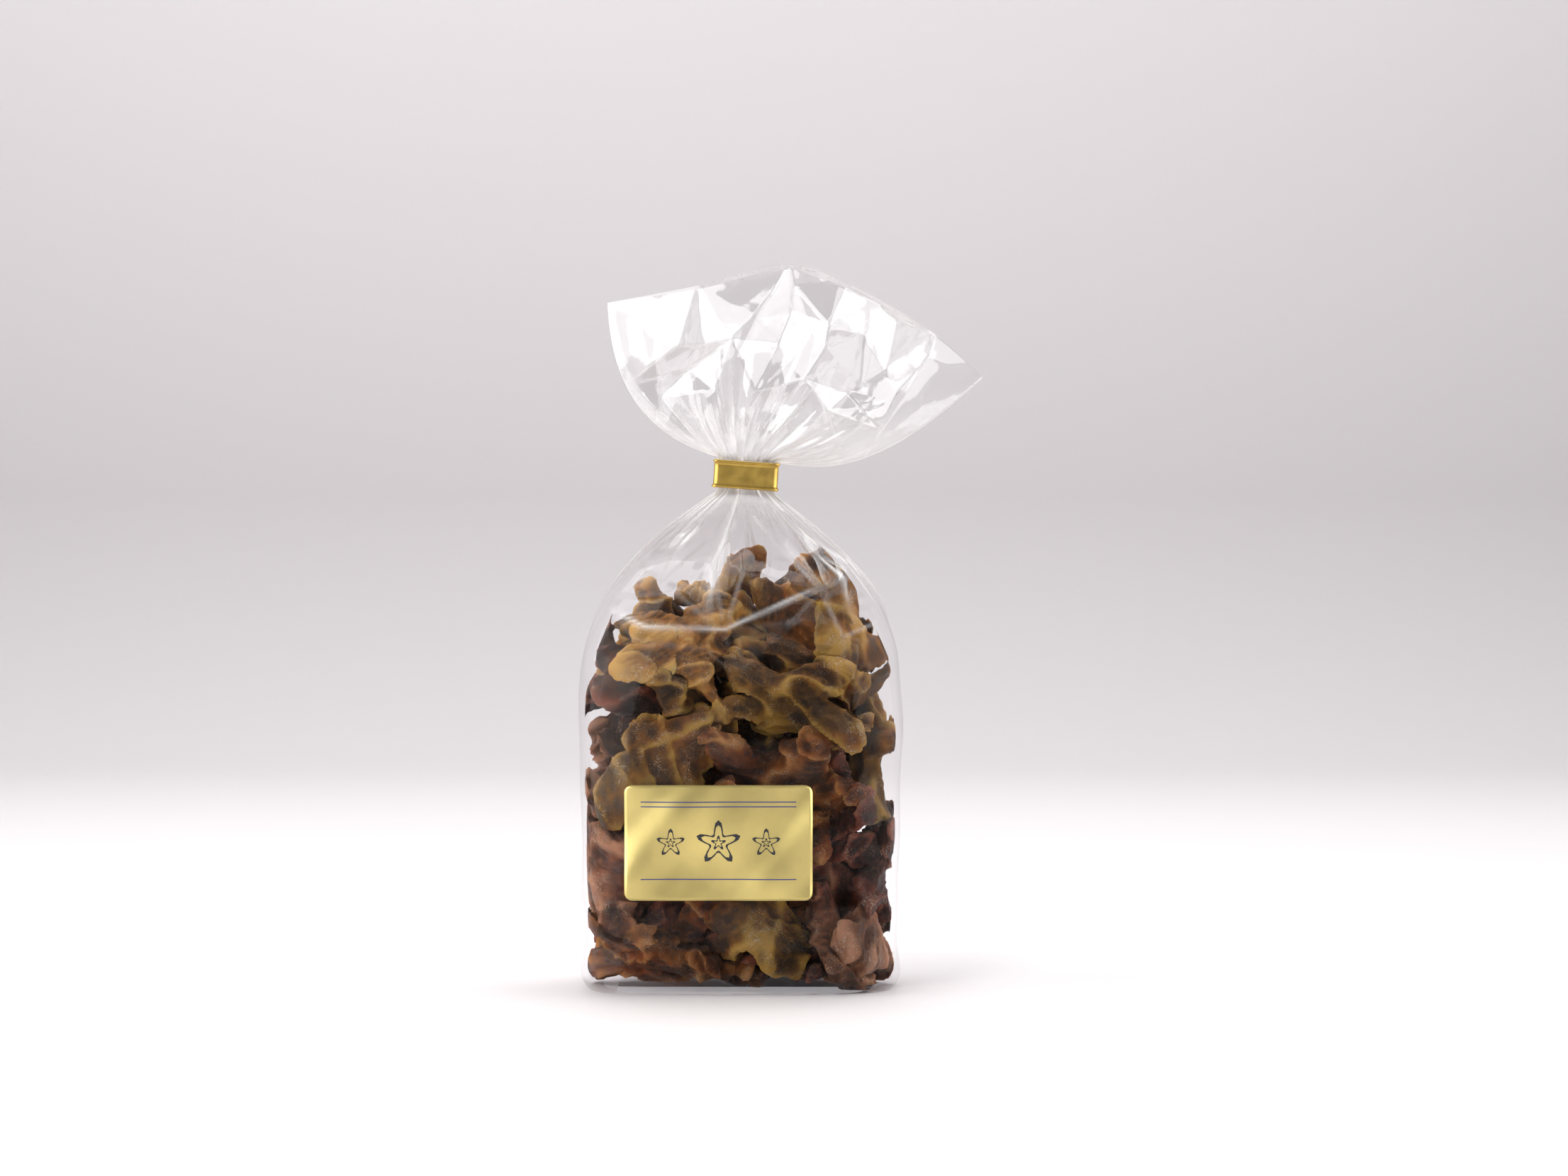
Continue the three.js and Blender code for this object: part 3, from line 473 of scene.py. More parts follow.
def body_points(angle, z, crumple):
    """The film below the band, from the angle round the bag and the height."""
    half_width, half_depth, squareness = section_at(z)
    c, s = np.cos(angle), np.sin(angle)
    reach = (np.abs(c) ** squareness + np.abs(s) ** squareness) ** (-1 / squareness)
    x, y = half_width * c * reach, half_depth * s * reach
    rise = smoothstep(z, SHOULDER["from"], SHOULDER["risen"])
    gather = smoothstep(z, *GATHER)
    wave = lerp(fold_at(angle, FOLDS["broad"]), fold_at(angle, FOLDS["fine"]), 0.35 + 0.5 * gather)
    fold = SHOULDER["depth"] * rise * (1 - 0.8 * gather) * (wave - 1) / 2
    pleat = NECK["pleat_depth"] * smoothstep(z, *PLEATED) * (neck_pleat(angle) - 1) / 2
    front = smoothstep(-y / half_depth, *FACE)
    back = smoothstep(y / half_depth, *FACE)
    shoulder_net = net_height(SHOULDER_FRONT, SHOULDER_FRONT_CREASES, x, z)
    back_net = net_height(SHOULDER_FRONT, SHOULDER_FRONT_CREASES, -x, z)
    waist = WAIST_CREASE["z"] - WAIST_CREASE["sag"] * (1 - (x / half_width) ** 2)
    waist_share = np.clip(1 - np.abs(z - waist) / WAIST_CREASE["width"], 0, 1) ** 2
    amount = lerp(CRUMPLE["body"], CRUMPLE["shoulder"], rise) * (1 - gather) * smoothstep(z, 0, 6)
    free = 1 - under_label(x, z) * front
    push = fold + pleat + bulge_at(angle, z) + free * amount * crumple
    push += NET_DEPTH["shoulder"] * (1 - gather) * (front * shoulder_net + back * back_net)
    streaks = streaks_at(SHOULDER_STREAKS, angle, BODY_TOP - z)
    push += streaks * smoothstep(z, *STREAKED) * (1 - 0.7 * gather)
    push += WAIST_CREASE["depth"] * waist_share * free
    seam = 1 - smoothstep(np.abs(x), *BACK_SEAM["edge"])
    push += BACK_SEAM["rise"] * seam * back * (1 - gather) * smoothstep(z, 1, 4)
    length = np.hypot(x / half_width, y / half_depth)
    out_x, out_y = x / half_width / length, y / half_depth / length
    lean = smoothstep(z, *LEAN)
    tilt = CLIP["tilt"] * lean
    across = x + out_x * push
    placed_x = CLIP["x"] * lean + across * np.cos(tilt)
    return np.stack([placed_x, y + out_y * push, z - across * np.sin(tilt)], axis=-1)


def neck_pleat(angle):
    """Uneven gathers round the neck, from -1 to 1."""
    drift = 0.5 * np.sin(3 * angle + 1) + 0.3 * np.sin(5 * angle) + 0.16 * np.sin(11 * angle)
    size = 0.75 + 0.25 * np.sin(7 * angle + 0.4) * np.sin(4 * angle)
    return size * triangle_wave(NECK["pleats"] * angle / (2 * math.pi) + drift)


def neck_points(angle, height):
    """The film inside the band, from the angle round the neck and the height above the band's middle."""
    pleat = 1 + NECK["pleat_depth"] / NECK["half_depth"] * (neck_pleat(angle) - 1) / 2
    across = NECK["half_width"] * pleat * np.cos(angle)
    deep = NECK["half_depth"] * pleat * np.sin(angle)
    c, s = math.cos(CLIP["tilt"]), math.sin(CLIP["tilt"])
    x = CLIP["x"] + across * c + height * s
    return np.stack([x, deep, CLIP["z"] + height * c - across * s], axis=-1)


def mouth_edge(share):
    """The mouth's edge from its left corner (0) to its right one (1)."""
    dense = []
    points = [np.array(p, float) for p in MOUTH_EDGE]
    points = [2 * points[0] - points[1], *points, 2 * points[-1] - points[-2]]
    for a, b, c, d in zip(points, points[1:], points[2:], points[3:]):
        for t in np.linspace(0, 1, 24, endpoint=False):
            square, cube = 2 * a - 5 * b + 4 * c - d, 3 * b - a - 3 * c + d
            dense.append(0.5 * (2 * b + (c - a) * t + square * t * t + cube * t**3))
    dense.append(points[-2])
    dense = np.array(dense)
    walked = walked_along(dense)
    walked /= walked[-1]
    return np.interp(share, walked, dense[:, 0]), np.interp(share, walked, dense[:, 1])


def across_mouth(stops, share):
    """A value that runs from the mouth's left corner over its middle to its right corner."""
    first = lerp(stops["left"], stops["middle"], share * 2)
    return np.where(share < 0.5, first, lerp(stops["middle"], stops["right"], share * 2 - 1))


def make_streaks(random, count, longest, depth):
    """Straight thin creases that run out from the neck."""
    return [
        {
            "angle": random.uniform(0, 2 * math.pi),
            "drift": random.uniform(-STREAK_DRIFT, STREAK_DRIFT) / longest,
            "reach": longest * random.uniform(LEAST_STREAK, 1),
            "depth": depth * random.uniform(LEAST_STREAK, 1) * random.choice([-1, 1]),
            "width": random.uniform(*STREAK_WIDTH),
            "longest": longest,
        }
        for _ in range(count)
    ]


def streaks_at(streaks, angle, distance):
    """How far the streaks push the film out at each angle and distance from the neck."""
    total = np.zeros_like(angle)
    for streak in streaks:
        off = angle - streak["angle"] - streak["drift"] * distance
        off = np.abs((off + math.pi) % (2 * math.pi) - math.pi)
        width = streak["width"] * (0.8 + distance / streak["longest"])
        fade = 1 - smoothstep(distance, 0.5 * streak["reach"], streak["reach"])
        total += streak["depth"] * np.clip(1 - off / width, 0, 1) * fade
    return total


def fan_points(angle, step, crumple):
    """The flared film above the band, from the angle and the step from the band (0) to the edge (1)."""
    share = 1 - np.abs(1 - (angle - math.pi) / math.pi)
    side = np.sin(angle)
    start = neck_points(angle, HALF_CLIP + NECK["beyond_clip"])
    end_x, end_z = mouth_edge(share)
    end_z = end_z - FRONT_EDGE_DROP * np.maximum(0, -side)
    end = np.stack([end_x, MOUTH_OPENING * side, end_z], axis=-1)
    leaving = np.radians(lerp(LEAVE["left"], LEAVE["right"], share))
    arriving = np.radians(across_mouth(ARRIVE, share))
    reach = across_mouth(ARRIVE_REACH, share)[..., None]
    zero = np.zeros_like(share)
    early = start + LEAVE["reach"] * np.stack([np.cos(leaving), zero, np.sin(leaving)], axis=-1)
    late = end - reach * np.stack([np.cos(arriving), zero, np.sin(arriving)], axis=-1)
    early[..., 1] = FAN_BALLOON["near_clip"] * side
    late[..., 1] = FAN_BALLOON["near_edge"] * side
    t = step[..., None]
    point = start * (1 - t) ** 3 + 3 * early * t * (1 - t) ** 2 + 3 * late * t * t * (1 - t)
    point += end * t**3
    merged = smoothstep(step, *FAN_RANGE["merge"])
    fine = FAN_FOLD_DEPTH["fine"] * fold_at(angle, FOLDS["fine"]) * (1 - 0.9 * merged)
    broad = FAN_FOLD_DEPTH["broad"] * fold_at(angle, FOLDS["broad"]) * merged
    pleat_fade = 1 - smoothstep(step, *FAN_RANGE["pleats end"])
    pleat = FAN_FOLD_DEPTH["pleat"] * neck_pleat(angle) * pleat_fade
    grown = smoothstep(step, *FAN_RANGE["grow"])
    wave = (fine + broad) * side * side * grown
    wave += pleat * side * side * smoothstep(step, *FAN_RANGE["pleats start"])
    x, z = point[..., 0], point[..., 2]
    front = net_height(FAN_FRONT, FAN_FRONT_CREASES, x, z)
    back = net_height(FAN_BACK, FAN_BACK_CREASES, x, z)
    off_edge = smoothstep(np.abs(side), *FAN_EDGE["facets"])
    facet = NET_DEPTH["fan"] * np.where(side < 0, -front, back) * off_edge * grown
    facet += streaks_at(FAN_STREAKS, angle, step) * np.sign(side) * off_edge * grown
    small = CRUMPLE["fan"] * crumple * smoothstep(np.abs(side), *FAN_EDGE["crumple"]) * grown
    seam = (1 - smoothstep(np.abs(angle - 2.5 * math.pi), 0.1, 0.11)) * BACK_SEAM["rise"] * grown
    point[..., 1] += wave + facet + small + seam
    return point


random_streaks = np.random.default_rng(SEED + 1)
FAN_STREAKS = make_streaks(random_streaks, **STREAKS["fan"])
SHOULDER_STREAKS = make_streaks(random_streaks, **STREAKS["shoulder"])


def crumpled(random, tall, spacing, columns, rows):
    """Coarse and fine random facets on a grid that closes round the bag."""
    around = SHEET["around"]
    column, row = np.meshgrid(around * np.arange(columns) / columns, np.linspace(0, tall, rows))
    coarse = random_facets(random, around, tall, spacing * 2, column, row)
    fine = random_facets(random, around, tall, spacing, column, row)
    return FACET_SHARE["coarse"] * coarse + FACET_SHARE["fine"] * fine


def softened(grid, passes):
    """Averages neighbours on a grid whose columns close round the bag."""
    for _ in range(passes):
        grid = 0.5 * grid + 0.25 * (np.roll(grid, 1, axis=1) + np.roll(grid, -1, axis=1))
        grid[1:-1] = 0.5 * grid[1:-1] + 0.25 * (grid[2:] + grid[:-2])
    return grid


def film_piece(name, rows, streaked, closed_base):
    """A piece of film from rows of points round the bag, with its base filled in if it has one."""
    rows = softened(rows, 2)
    count = rows.shape[1]
    vertices = rows.reshape(-1, 3)
    faces = grid_faces(len(rows), count)
    haze_and_painted_glints = film_haze_and_painted_glints(rows, streaked).ravel()
    if closed_base:
        faces += [((c + 1) % count, c, len(vertices)) for c in range(count)]
        vertices = np.vstack([vertices, [0, 0, 0]])
        haze_and_painted_glints = np.append(haze_and_painted_glints, HAZE_AND_PAINTED_GLINTS["body"])
    piece = make_object(name, vertices, faces)
    add_values(piece.data, "haze_and_painted_glints", haze_and_painted_glints)
    return piece


def make_body_film(random):
    angles = math.pi + 2 * math.pi * np.arange(BODY_COLUMNS) / BODY_COLUMNS
    crumple = crumpled(random, SHEET["body"], FACET_SPACING["body"], BODY_COLUMNS, BODY_ROWS)
    angle, z = np.meshgrid(angles, np.linspace(0, BODY_TOP, BODY_ROWS))
    body = body_points(angle, z, crumple)
    streaked = streaks_at(SHOULDER_STREAKS, angle, BODY_TOP - z) / STREAKS["shoulder"]["depth"]
    streaked = np.pad(streaked, ((BASE_RINGS - 1, NECK_ROWS), (0, 0)))
    angle, height = np.meshgrid(angles, np.linspace(-HALF_CLIP, 0, NECK_ROWS))
    shrinking = [1 - k / BASE_RINGS for k in range(BASE_RINGS - 1, 0, -1)]
    base = [body[0] * [share, share, 1] for share in shrinking]
    rows = np.concatenate([base, body, neck_points(angle, height)])
    return film_piece("body_film", rows, streaked, closed_base=True)


def make_fan_film(random):
    angles = math.pi + 2 * math.pi * np.arange(FAN_COLUMNS) / FAN_COLUMNS
    crumple = crumpled(random, SHEET["fan"], FACET_SPACING["fan"], FAN_COLUMNS, FAN_ROWS)
    angle, height = np.meshgrid(angles, np.linspace(0, HALF_CLIP, NECK_ROWS))
    neck = neck_points(angle, height)
    angle, step = np.meshgrid(angles, np.linspace(0, 1, FAN_ROWS + 1)[1:])
    streaked = streaks_at(FAN_STREAKS, angle, step) / STREAKS["fan"]["depth"]
    streaked = np.pad(streaked, ((NECK_ROWS, 0), (0, 0)))
    rows = np.concatenate([neck, fan_points(angle, step, crumple)])
    return film_piece("mouth_film", rows, streaked, closed_base=False)


def sharpness(rows):
    """How sharply the film is creased at each of its points, from 0 to 1."""
    around = np.roll(rows, 1, axis=1) + np.roll(rows, -1, axis=1) - 2 * rows
    reach = np.linalg.norm(np.roll(rows, 1, axis=1) - np.roll(rows, -1, axis=1), axis=-1)
    bend = np.linalg.norm(around, axis=-1) / (reach + 0.1)
    along = np.zeros_like(rows)
    along[1:-1] = rows[2:] + rows[:-2] - 2 * rows[1:-1]
    span = np.ones(rows.shape[:2])
    span[1:-1] = np.linalg.norm(rows[2:] - rows[:-2], axis=-1)
    bend += np.linalg.norm(along, axis=-1) / (span + 0.1)
    return smoothstep(bend, *SHARP)


def painted_glint_lines(points, creases, x, z):
    """1 on a net's creases, where painted glints go, fading to 0 beside them."""
    nearest = np.full(x.shape, np.inf)
    for crease in creases:
        for a, b in zip(crease, crease[1:]):
            start = np.array(points[a][:2])
            ahead = points[b][:2] - start
            along = ((x - start[0]) * ahead[0] + (z - start[1]) * ahead[1]) / (ahead @ ahead)
            share = np.clip(along, 0, 1)
            away = np.hypot(x - start[0] - share * ahead[0], z - start[1] - share * ahead[1])
            nearest = np.minimum(nearest, away)
    return np.exp(-((nearest / GLINT_LINE_WIDTH) ** 2))


def film_haze_and_painted_glints(rows, streaked):
    """How white the film is painted at each point, which is 0 for clear film: a light haze, a painted
    sheen where it gathers at the band, and painted glints on its creases, crease lines and streaks.
    """
    x, z = rows[..., 0], rows[..., 2]
    above = CLIP["z"] + HALF_CLIP
    below = CLIP["z"] - HALF_CLIP
    over = 1 - smoothstep(z, above, above + GATHERED_HAZE_REACH["above"])
    under = smoothstep(z, below - GATHERED_HAZE_REACH["below"], below)
    gathered = np.where(z > CLIP["z"], over, under)
    in_fan = smoothstep(z, below, above + GATHERED_HAZE_REACH["fan"])
    base = lerp(HAZE_AND_PAINTED_GLINTS["body"], HAZE_AND_PAINTED_GLINTS["fan"], in_fan)
    # Painted glints on sharp creases, on the net's crease lines at the front and along the streaks
    painted_crease_glint = HAZE_AND_PAINTED_GLINTS["crease"] * sharpness(rows) * smoothstep(z, *PAINTED_GLINTS_FROM["crease"])
    uneven = np.clip(0.5 + 0.8 * lattice_noise(rows.reshape(-1, 3), 9, 41).reshape(x.shape), 0, 1)
    painted_glint_mask = painted_glint_lines(FAN_FRONT, FAN_FRONT_CREASES, x, z)
    painted_glint_mask = np.maximum(painted_glint_mask, painted_glint_lines(SHOULDER_FRONT, SHOULDER_FRONT_CREASES, x, z))
    painted_line_glint = HAZE_AND_PAINTED_GLINTS["line"] * painted_glint_mask * (rows[..., 1] < 0) * uneven
    painted_streak_glint = HAZE_AND_PAINTED_GLINTS["streak"] * np.clip(np.abs(streaked), 0, 1) ** 2
    painted_streak_glint *= smoothstep(z, *PAINTED_GLINTS_FROM["streak"])
    haze_and_painted_glints = base + (HAZE_AND_PAINTED_GLINTS["neck"] - base) * gathered**2 + painted_crease_glint + painted_line_glint + painted_streak_glint
    return np.clip(haze_and_painted_glints, 0, MOST_WHITE)


def make_neck_layers():
    """The film's gathered layers inside the band, seen just above and below it."""
    vertices, faces, haze_and_painted_glints = [], [], []
    columns = NECK_LAYERS["columns"]
    angles = 2 * math.pi * np.arange(columns) / columns
    lowest, highest = -HALF_CLIP - NECK_LAYERS["below"], HALF_CLIP + NECK_LAYERS["above"]
    levels = np.linspace(lowest, highest, NECK_LAYERS["rows"])
    angle, height = np.meshgrid(angles, levels)
    flared = smoothstep(np.abs(height), HALF_CLIP, HALF_CLIP + LAYER_SIZE["flare_reach"])
    flare = flared * LAYER_SIZE["flare"]
    c, s = math.cos(CLIP["tilt"]), math.sin(CLIP["tilt"])
    for layer in range(1, NECK_LAYERS["count"] + 1):
        size = LAYER_SIZE["first"] - LAYER_SIZE["step"] * layer
        spread = size + flare + 0.1 * np.sin(9 * angle + 2.4 * layer) * flare * 4
        points = neck_points(angle + NECK_LAYERS["turn"] * layer, height)
        axis = np.stack([CLIP["x"] + height * s, 0 * height, CLIP["z"] + height * c], axis=-1)
        points = axis + (points - axis) * spread[..., None]
        faces += grid_faces(len(levels), columns, start=len(vertices))
        vertices += list(points.reshape(-1, 3))
        beyond = np.abs(height) - HALF_CLIP
        # The layers are painted white as a sheen, fading out away from the band
        haze_and_painted_glints += list(HAZE_AND_PAINTED_GLINTS["neck"] * (1 - smoothstep(beyond, *LAYER_FADE)).ravel())
    layers = make_object("neck_film_layers", vertices, faces)
    add_values(layers.data, "haze_and_painted_glints", haze_and_painted_glints)
    return layers


# Clip band

def band_path():
    """The band's centre line seen from above, from one end behind the neck round to the other."""
    half_w, half_d = CLIP["width"] / 2 - BAND["inset"], CLIP["depth"] / 2 - BAND["inset"]
    corner, gap = BAND["corner"], BAND["gap"]
    path = [(gap, half_d - 0.55), (gap + 0.7, half_d - 0.2)]
    for cx, cy, start in ((1, 1, 90), (1, -1, 0), (-1, -1, -90), (-1, 1, -180)):
        for k in range(7):
            turn = math.radians(start - 15 * k)
            x = cx * (half_w - corner) + corner * math.cos(turn)
            path.append((x, cy * (half_d - corner) + corner * math.sin(turn)))
    path += [(-gap - 0.7, half_d - 0.2), (-gap, half_d - 0.55)]
    return np.array(path)


def densify(path, spacing):
    """Points along a path, evenly spaced."""
    walked = walked_along(path)
    at = np.linspace(0, walked[-1], int(walked[-1] / spacing) + 1)
    return np.stack([np.interp(at, walked, path[:, k]) for k in range(2)], axis=-1)


def bead_points(middle, first):
    """Points round a wire bead as (outwards, up), from a first angle in degrees."""
    turns = [math.radians(first + 22.5 * k) for k in range(9)]
    reach = BAND["bead"]
    return [(BAND["sheet"] * 0.4 + reach * math.cos(t), middle + reach * math.sin(t)) for t in turns]


def band_profile():
    """The strip's section as (outwards, up), with the wire beads along both edges."""
    bead, sheet = BAND["bead"], BAND["sheet"]
    low, high = -HALF_CLIP + 2 * bead + 0.1, HALF_CLIP - 2 * bead - 0.1
    profile = bead_points(-HALF_CLIP + bead, -110)
    profile += [(sheet, lerp(low, high, k / 12)) for k in range(1, 12)]
    profile += bead_points(HALF_CLIP - bead, -70)
    inside = HALF_CLIP - bead * 1.4
    profile += [(-sheet, inside), (-sheet, 0), (-sheet, -inside)]
    return np.array(profile)


def make_clip_band():
    path = densify(band_path(), BAND["spacing"])
    ahead = np.gradient(path, axis=0)
    ahead /= np.linalg.norm(ahead, axis=1)[:, None]
    outward = np.stack([-ahead[:, 1], ahead[:, 0]], axis=-1)
    profile = band_profile()
    vertices = []
    for place, out, along in zip(path, outward, ahead):
        corner = abs(along[0] * along[1]) * 2
        for depth, up in profile:
            edge = smoothstep(abs(up), HALF_CLIP - 1.3, HALF_CLIP - 0.2)
            flare = BAND_SHAPE["flare"] * corner * edge
            near_middle = math.exp(-(place[0] / BAND_SHAPE["dent_width"]) ** 2)
            dent = -BAND_SHAPE["dent"] * near_middle * (1 - edge)
            outwards = place + out * (depth + flare + dent)
            vertices.append((*outwards, up * (1 + BAND_SHAPE["taller"] * corner)))
    count = len(profile)
    faces = grid_faces(len(path), count)
    faces.append(tuple(range(count)))
    faces.append(tuple(range(len(vertices) - 1, len(vertices) - count - 1, -1)))
    turn = Matrix.Rotation(CLIP["tilt"], 3, "Y")
    placed = [turn @ Vector(v) + Vector((CLIP["x"], 0, CLIP["z"])) for v in vertices]
    band = make_object("gold_clip_band", placed, faces)
    face_outwards(band)
    return band


def face_outwards(made):
    work = bmesh.new()
    work.from_mesh(made.data)
    bmesh.ops.recalc_face_normals(work, faces=work.faces)
    work.to_mesh(made.data)
    work.free()


# Label

def front_of_film(x, z):
    """How far forward the smooth film lies, as y."""
    half_width, half_depth, squareness = section_at(z)
    share = np.abs(x / half_width)
    angle = np.arctan2(-1, x / half_width) + 2 * math.pi
    return -half_depth * (1 - share**squareness) ** (1 / squareness) - bulge_at(angle, z)


def label_front(x, z):
    wave = np.sin(0.16 * x + 0.6) * np.sin(0.2 * z + 1.1) + 0.6 * np.sin(0.3 * x - 0.24 * z)
    return front_of_film(x, z) - LABEL["gap"] - LABEL_WAVE * (wave + 1.6)


def rounded(u, v):
    """Moves a point of the label's rectangle so that its corners are round."""
    half_w, half_h, r = LABEL["width"] / 2, LABEL["height"] / 2, LABEL["corner"]
    in_u, in_v = np.abs(u) - (half_w - r), np.abs(v) - (half_h - r)
    corner = (in_u > 0) & (in_v > 0)
    a, b = np.clip(in_u / r, 0, 1), np.clip(in_v / r, 0, 1)
    new_u = np.where(corner, half_w - r + r * a * np.sqrt(1 - b * b / 2), np.abs(u))
    new_v = np.where(corner, half_h - r + r * b * np.sqrt(1 - a * a / 2), np.abs(v))
    return np.sign(u) * new_u, np.sign(v) * new_v


def star_outline(radius, x):
    """A closed outline of a five-armed star in the label's middle row."""
    points = []
    for k in range(STAR["points"]):
        turn = 2 * math.pi * k / STAR["points"]
        lobe = 0.5 + 0.5 * math.cos(5 * turn)
        reach = radius * (STAR["waist"] + STAR["arm"] * lobe ** STAR["sharp"])
        points.append((x + reach * math.sin(turn), reach * math.cos(turn)))
    return points + points[:1]


def label_ink():
    """Flat strips printed on the label, as (one edge, other edge, which ink)."""
    left, right = -LABEL["width"] / 2 + RULES["margin"], LABEL["width"] / 2 - RULES["margin"]
    parts = RULES["parts"]
    shapes = []
    for z in RULES["levels"]:
        strip = [(lerp(left, right, k / parts), z) for k in range(parts + 1)]
        shapes.append((strip, [(u, v + RULES["thick"]) for u, v in strip], BLUE_INK))
    for x, radius in STARS:
        inside = star_outline(radius * STAR["inside"], x)
        shapes.append((star_outline(radius, x), inside, DARK_INK))
        core = star_outline(radius * STAR["core"], x)
        shapes.append((star_outline(radius * STAR["ring"], x), core, DARK_INK))
    return shapes


def make_label():
    """The label's sheet with its print just in front of it."""
    u, v = np.meshgrid(
        np.linspace(-LABEL["width"] / 2, LABEL["width"] / 2, LABEL_COLUMNS + 1),
        np.linspace(-LABEL["height"] / 2, LABEL["height"] / 2, LABEL_ROWS + 1),
    )
    u, v = rounded(u, v)
    x, z = u + LABEL["x"], v + LABEL["z"]
    front = label_front(x, z)
    stride = LABEL_COLUMNS + 1
    count = stride * (LABEL_ROWS + 1)
    vertices = []
    for y in (front, front + LABEL["sheet"]):
        vertices += list(np.stack([x, y, z], axis=-1).reshape(-1, 3))
    faces = grid_faces(LABEL_ROWS + 1, stride, closed=False)
    faces += [tuple(reversed([i + count for i in face])) for face in faces]
    rim = list(range(stride))
    rim += [r * stride + stride - 1 for r in range(1, LABEL_ROWS + 1)]
    rim += [LABEL_ROWS * stride + c for c in range(stride - 2, -1, -1)]
    rim += [r * stride for r in range(LABEL_ROWS - 1, 0, -1)]
    faces += [(b, a, a + count, b + count) for a, b in zip(rim, rim[1:] + rim[:1])]
    flat_rim = len(faces) - len(rim)
    inks = [0] * len(faces)
    for one, other, ink in label_ink():
        start = len(vertices)
        for outline in (one, other):
            for a, b in outline:
                px, pz = a + LABEL["x"], b + LABEL["z"]
                vertices.append((px, float(label_front(np.array(px), np.array(pz))) - INK_HEIGHT, pz))
        n = len(one)
        for k in range(n - 1):
            faces.append((start + k, start + k + 1, start + n + k + 1, start + n + k))
            inks.append(ink)
    label = make_object("label_sheet", vertices, faces)
    label.data.polygons.foreach_set("material_index", inks)
    smooth = [not 0 <= k - flat_rim < len(rim) for k in range(len(faces))]
    label.data.polygons.foreach_set("use_smooth", smooth)
    return label


# Dried slices

def held_inside(p):
    """Pulls points in from the film, and up from its base."""
    half_width, half_depth, squareness = section_at(p[:, 2])
    shoulder = smoothstep(p[:, 2], *UNDER_SHOULDER["range"])
    spare = SLICE_CLEARANCE + BULGE + (SHOULDER["depth"] + UNDER_SHOULDER["spare"]) * shoulder
    wide, deep = half_width - spare, half_depth - spare
    reach = np.abs(p[:, 0] / wide) ** squareness + np.abs(p[:, 1] / deep) ** squareness
    reach = np.maximum(reach ** (1 / squareness), 0.01)
    give = 1 - PRESSED_FROM
    pressed = PRESSED_FROM + give * np.tanh((reach - PRESSED_FROM) / give)
    pull = np.where(reach > PRESSED_FROM, pressed / reach, 1)
    p[:, 0] *= pull
    p[:, 1] *= pull
    p[:, 2] = np.maximum(p[:, 2], LOWEST_FRUIT)
    return p


def ridged(p, size, seed):
    """Noise from 0 to 1 with sharp crests."""
    return 1 - np.clip(np.abs(lattice_noise(p, size, seed)) * 1.8, 0, 1)


def shrivel(p, normals, seed):
    """Bends, folds and wrinkles a slice's points. Also gives how much of a crest each one is on."""
    half_width, half_depth, squareness = section_at(p[:, 2])
    reach = np.abs(p[:, 0] / half_width) ** squareness + np.abs(p[:, 1] / half_depth) ** squareness
    free = 1 - 0.55 * smoothstep(reach, 0.3, 0.95)
    middle = p.mean(axis=0)
    bent = (middle + (p - middle) * SLICE_GROWTH) * SLICE_STRETCH
    bent[:, 2] -= SETTLING["drop"] * smoothstep(p[:, 2], *SETTLING["range"])
    for axis in range(3):
        for amount, size, first in BENDS:
            bent[:, axis] += amount * lattice_noise(p, size, first + axis) * free
    axle = Vector((seed % 3 - 1, seed % 5 - 2, 1)).normalized()
    turn = np.array(Matrix.Rotation(1.7 * seed, 3, axle))
    grain = p @ turn * [1, 1, 0.4]
    lumps = lattice_noise(p, 5.2, 20 + seed)
    folds = ridged(grain, 5.2, 60 + seed) ** 2.8
    wrinkles = ridged(grain, 1.7, 90 + seed) ** 1.3
    pits = lattice_noise(p, 0.9, 130 + seed)
    push = RELIEF["swell"] + RELIEF["lumps"] * lumps + RELIEF["folds"] * (folds - 0.2)
    push += RELIEF["wrinkles"] * (wrinkles - 0.5)
    push += RELIEF["pits"] * pits
    bent += normals * push[:, None]
    crest = CREST["least"] + CREST["folds"] * folds + CREST["wrinkles"] * wrinkles
    crest += CREST["lumps"] * lumps
    return held_inside(bent), np.clip(crest, 0, 1)


def make_slice(number, node):
    """A shrivelled copy of a slice's solid."""
    made = link(bpy.data.objects.new(f"dried_{node.name}", node.data.copy()))
    remesh = made.modifiers.new("remesh", "REMESH")
    remesh.mode = "VOXEL"
    remesh.voxel_size = SLICE_VOXEL * MM
    soften = made.modifiers.new("soften", "SMOOTH")
    soften.iterations = SLICE_SOFTENING["passes"]
    soften.factor = SLICE_SOFTENING["share"]
    bpy.context.view_layer.update()
    solved = made.evaluated_get(bpy.context.evaluated_depsgraph_get())
    mesh = bpy.data.meshes.new_from_object(solved)
    made.modifiers.clear()
    made.data = mesh
    mesh.name = made.name
    count = len(mesh.vertices)
    p = np.empty(count * 3)
    n = np.empty(count * 3)
    mesh.vertices.foreach_get("co", p)
    mesh.vertex_normals.foreach_get("vector", n)
    shrunk, crest = shrivel(p.reshape(-1, 3) / MM, n.reshape(-1, 3), number)
    mesh.vertices.foreach_set("co", (shrunk * MM).ravel())
    add_values(mesh, "crest", crest)
    mesh.update()
    mesh.shade_smooth()
    return made


# Materials

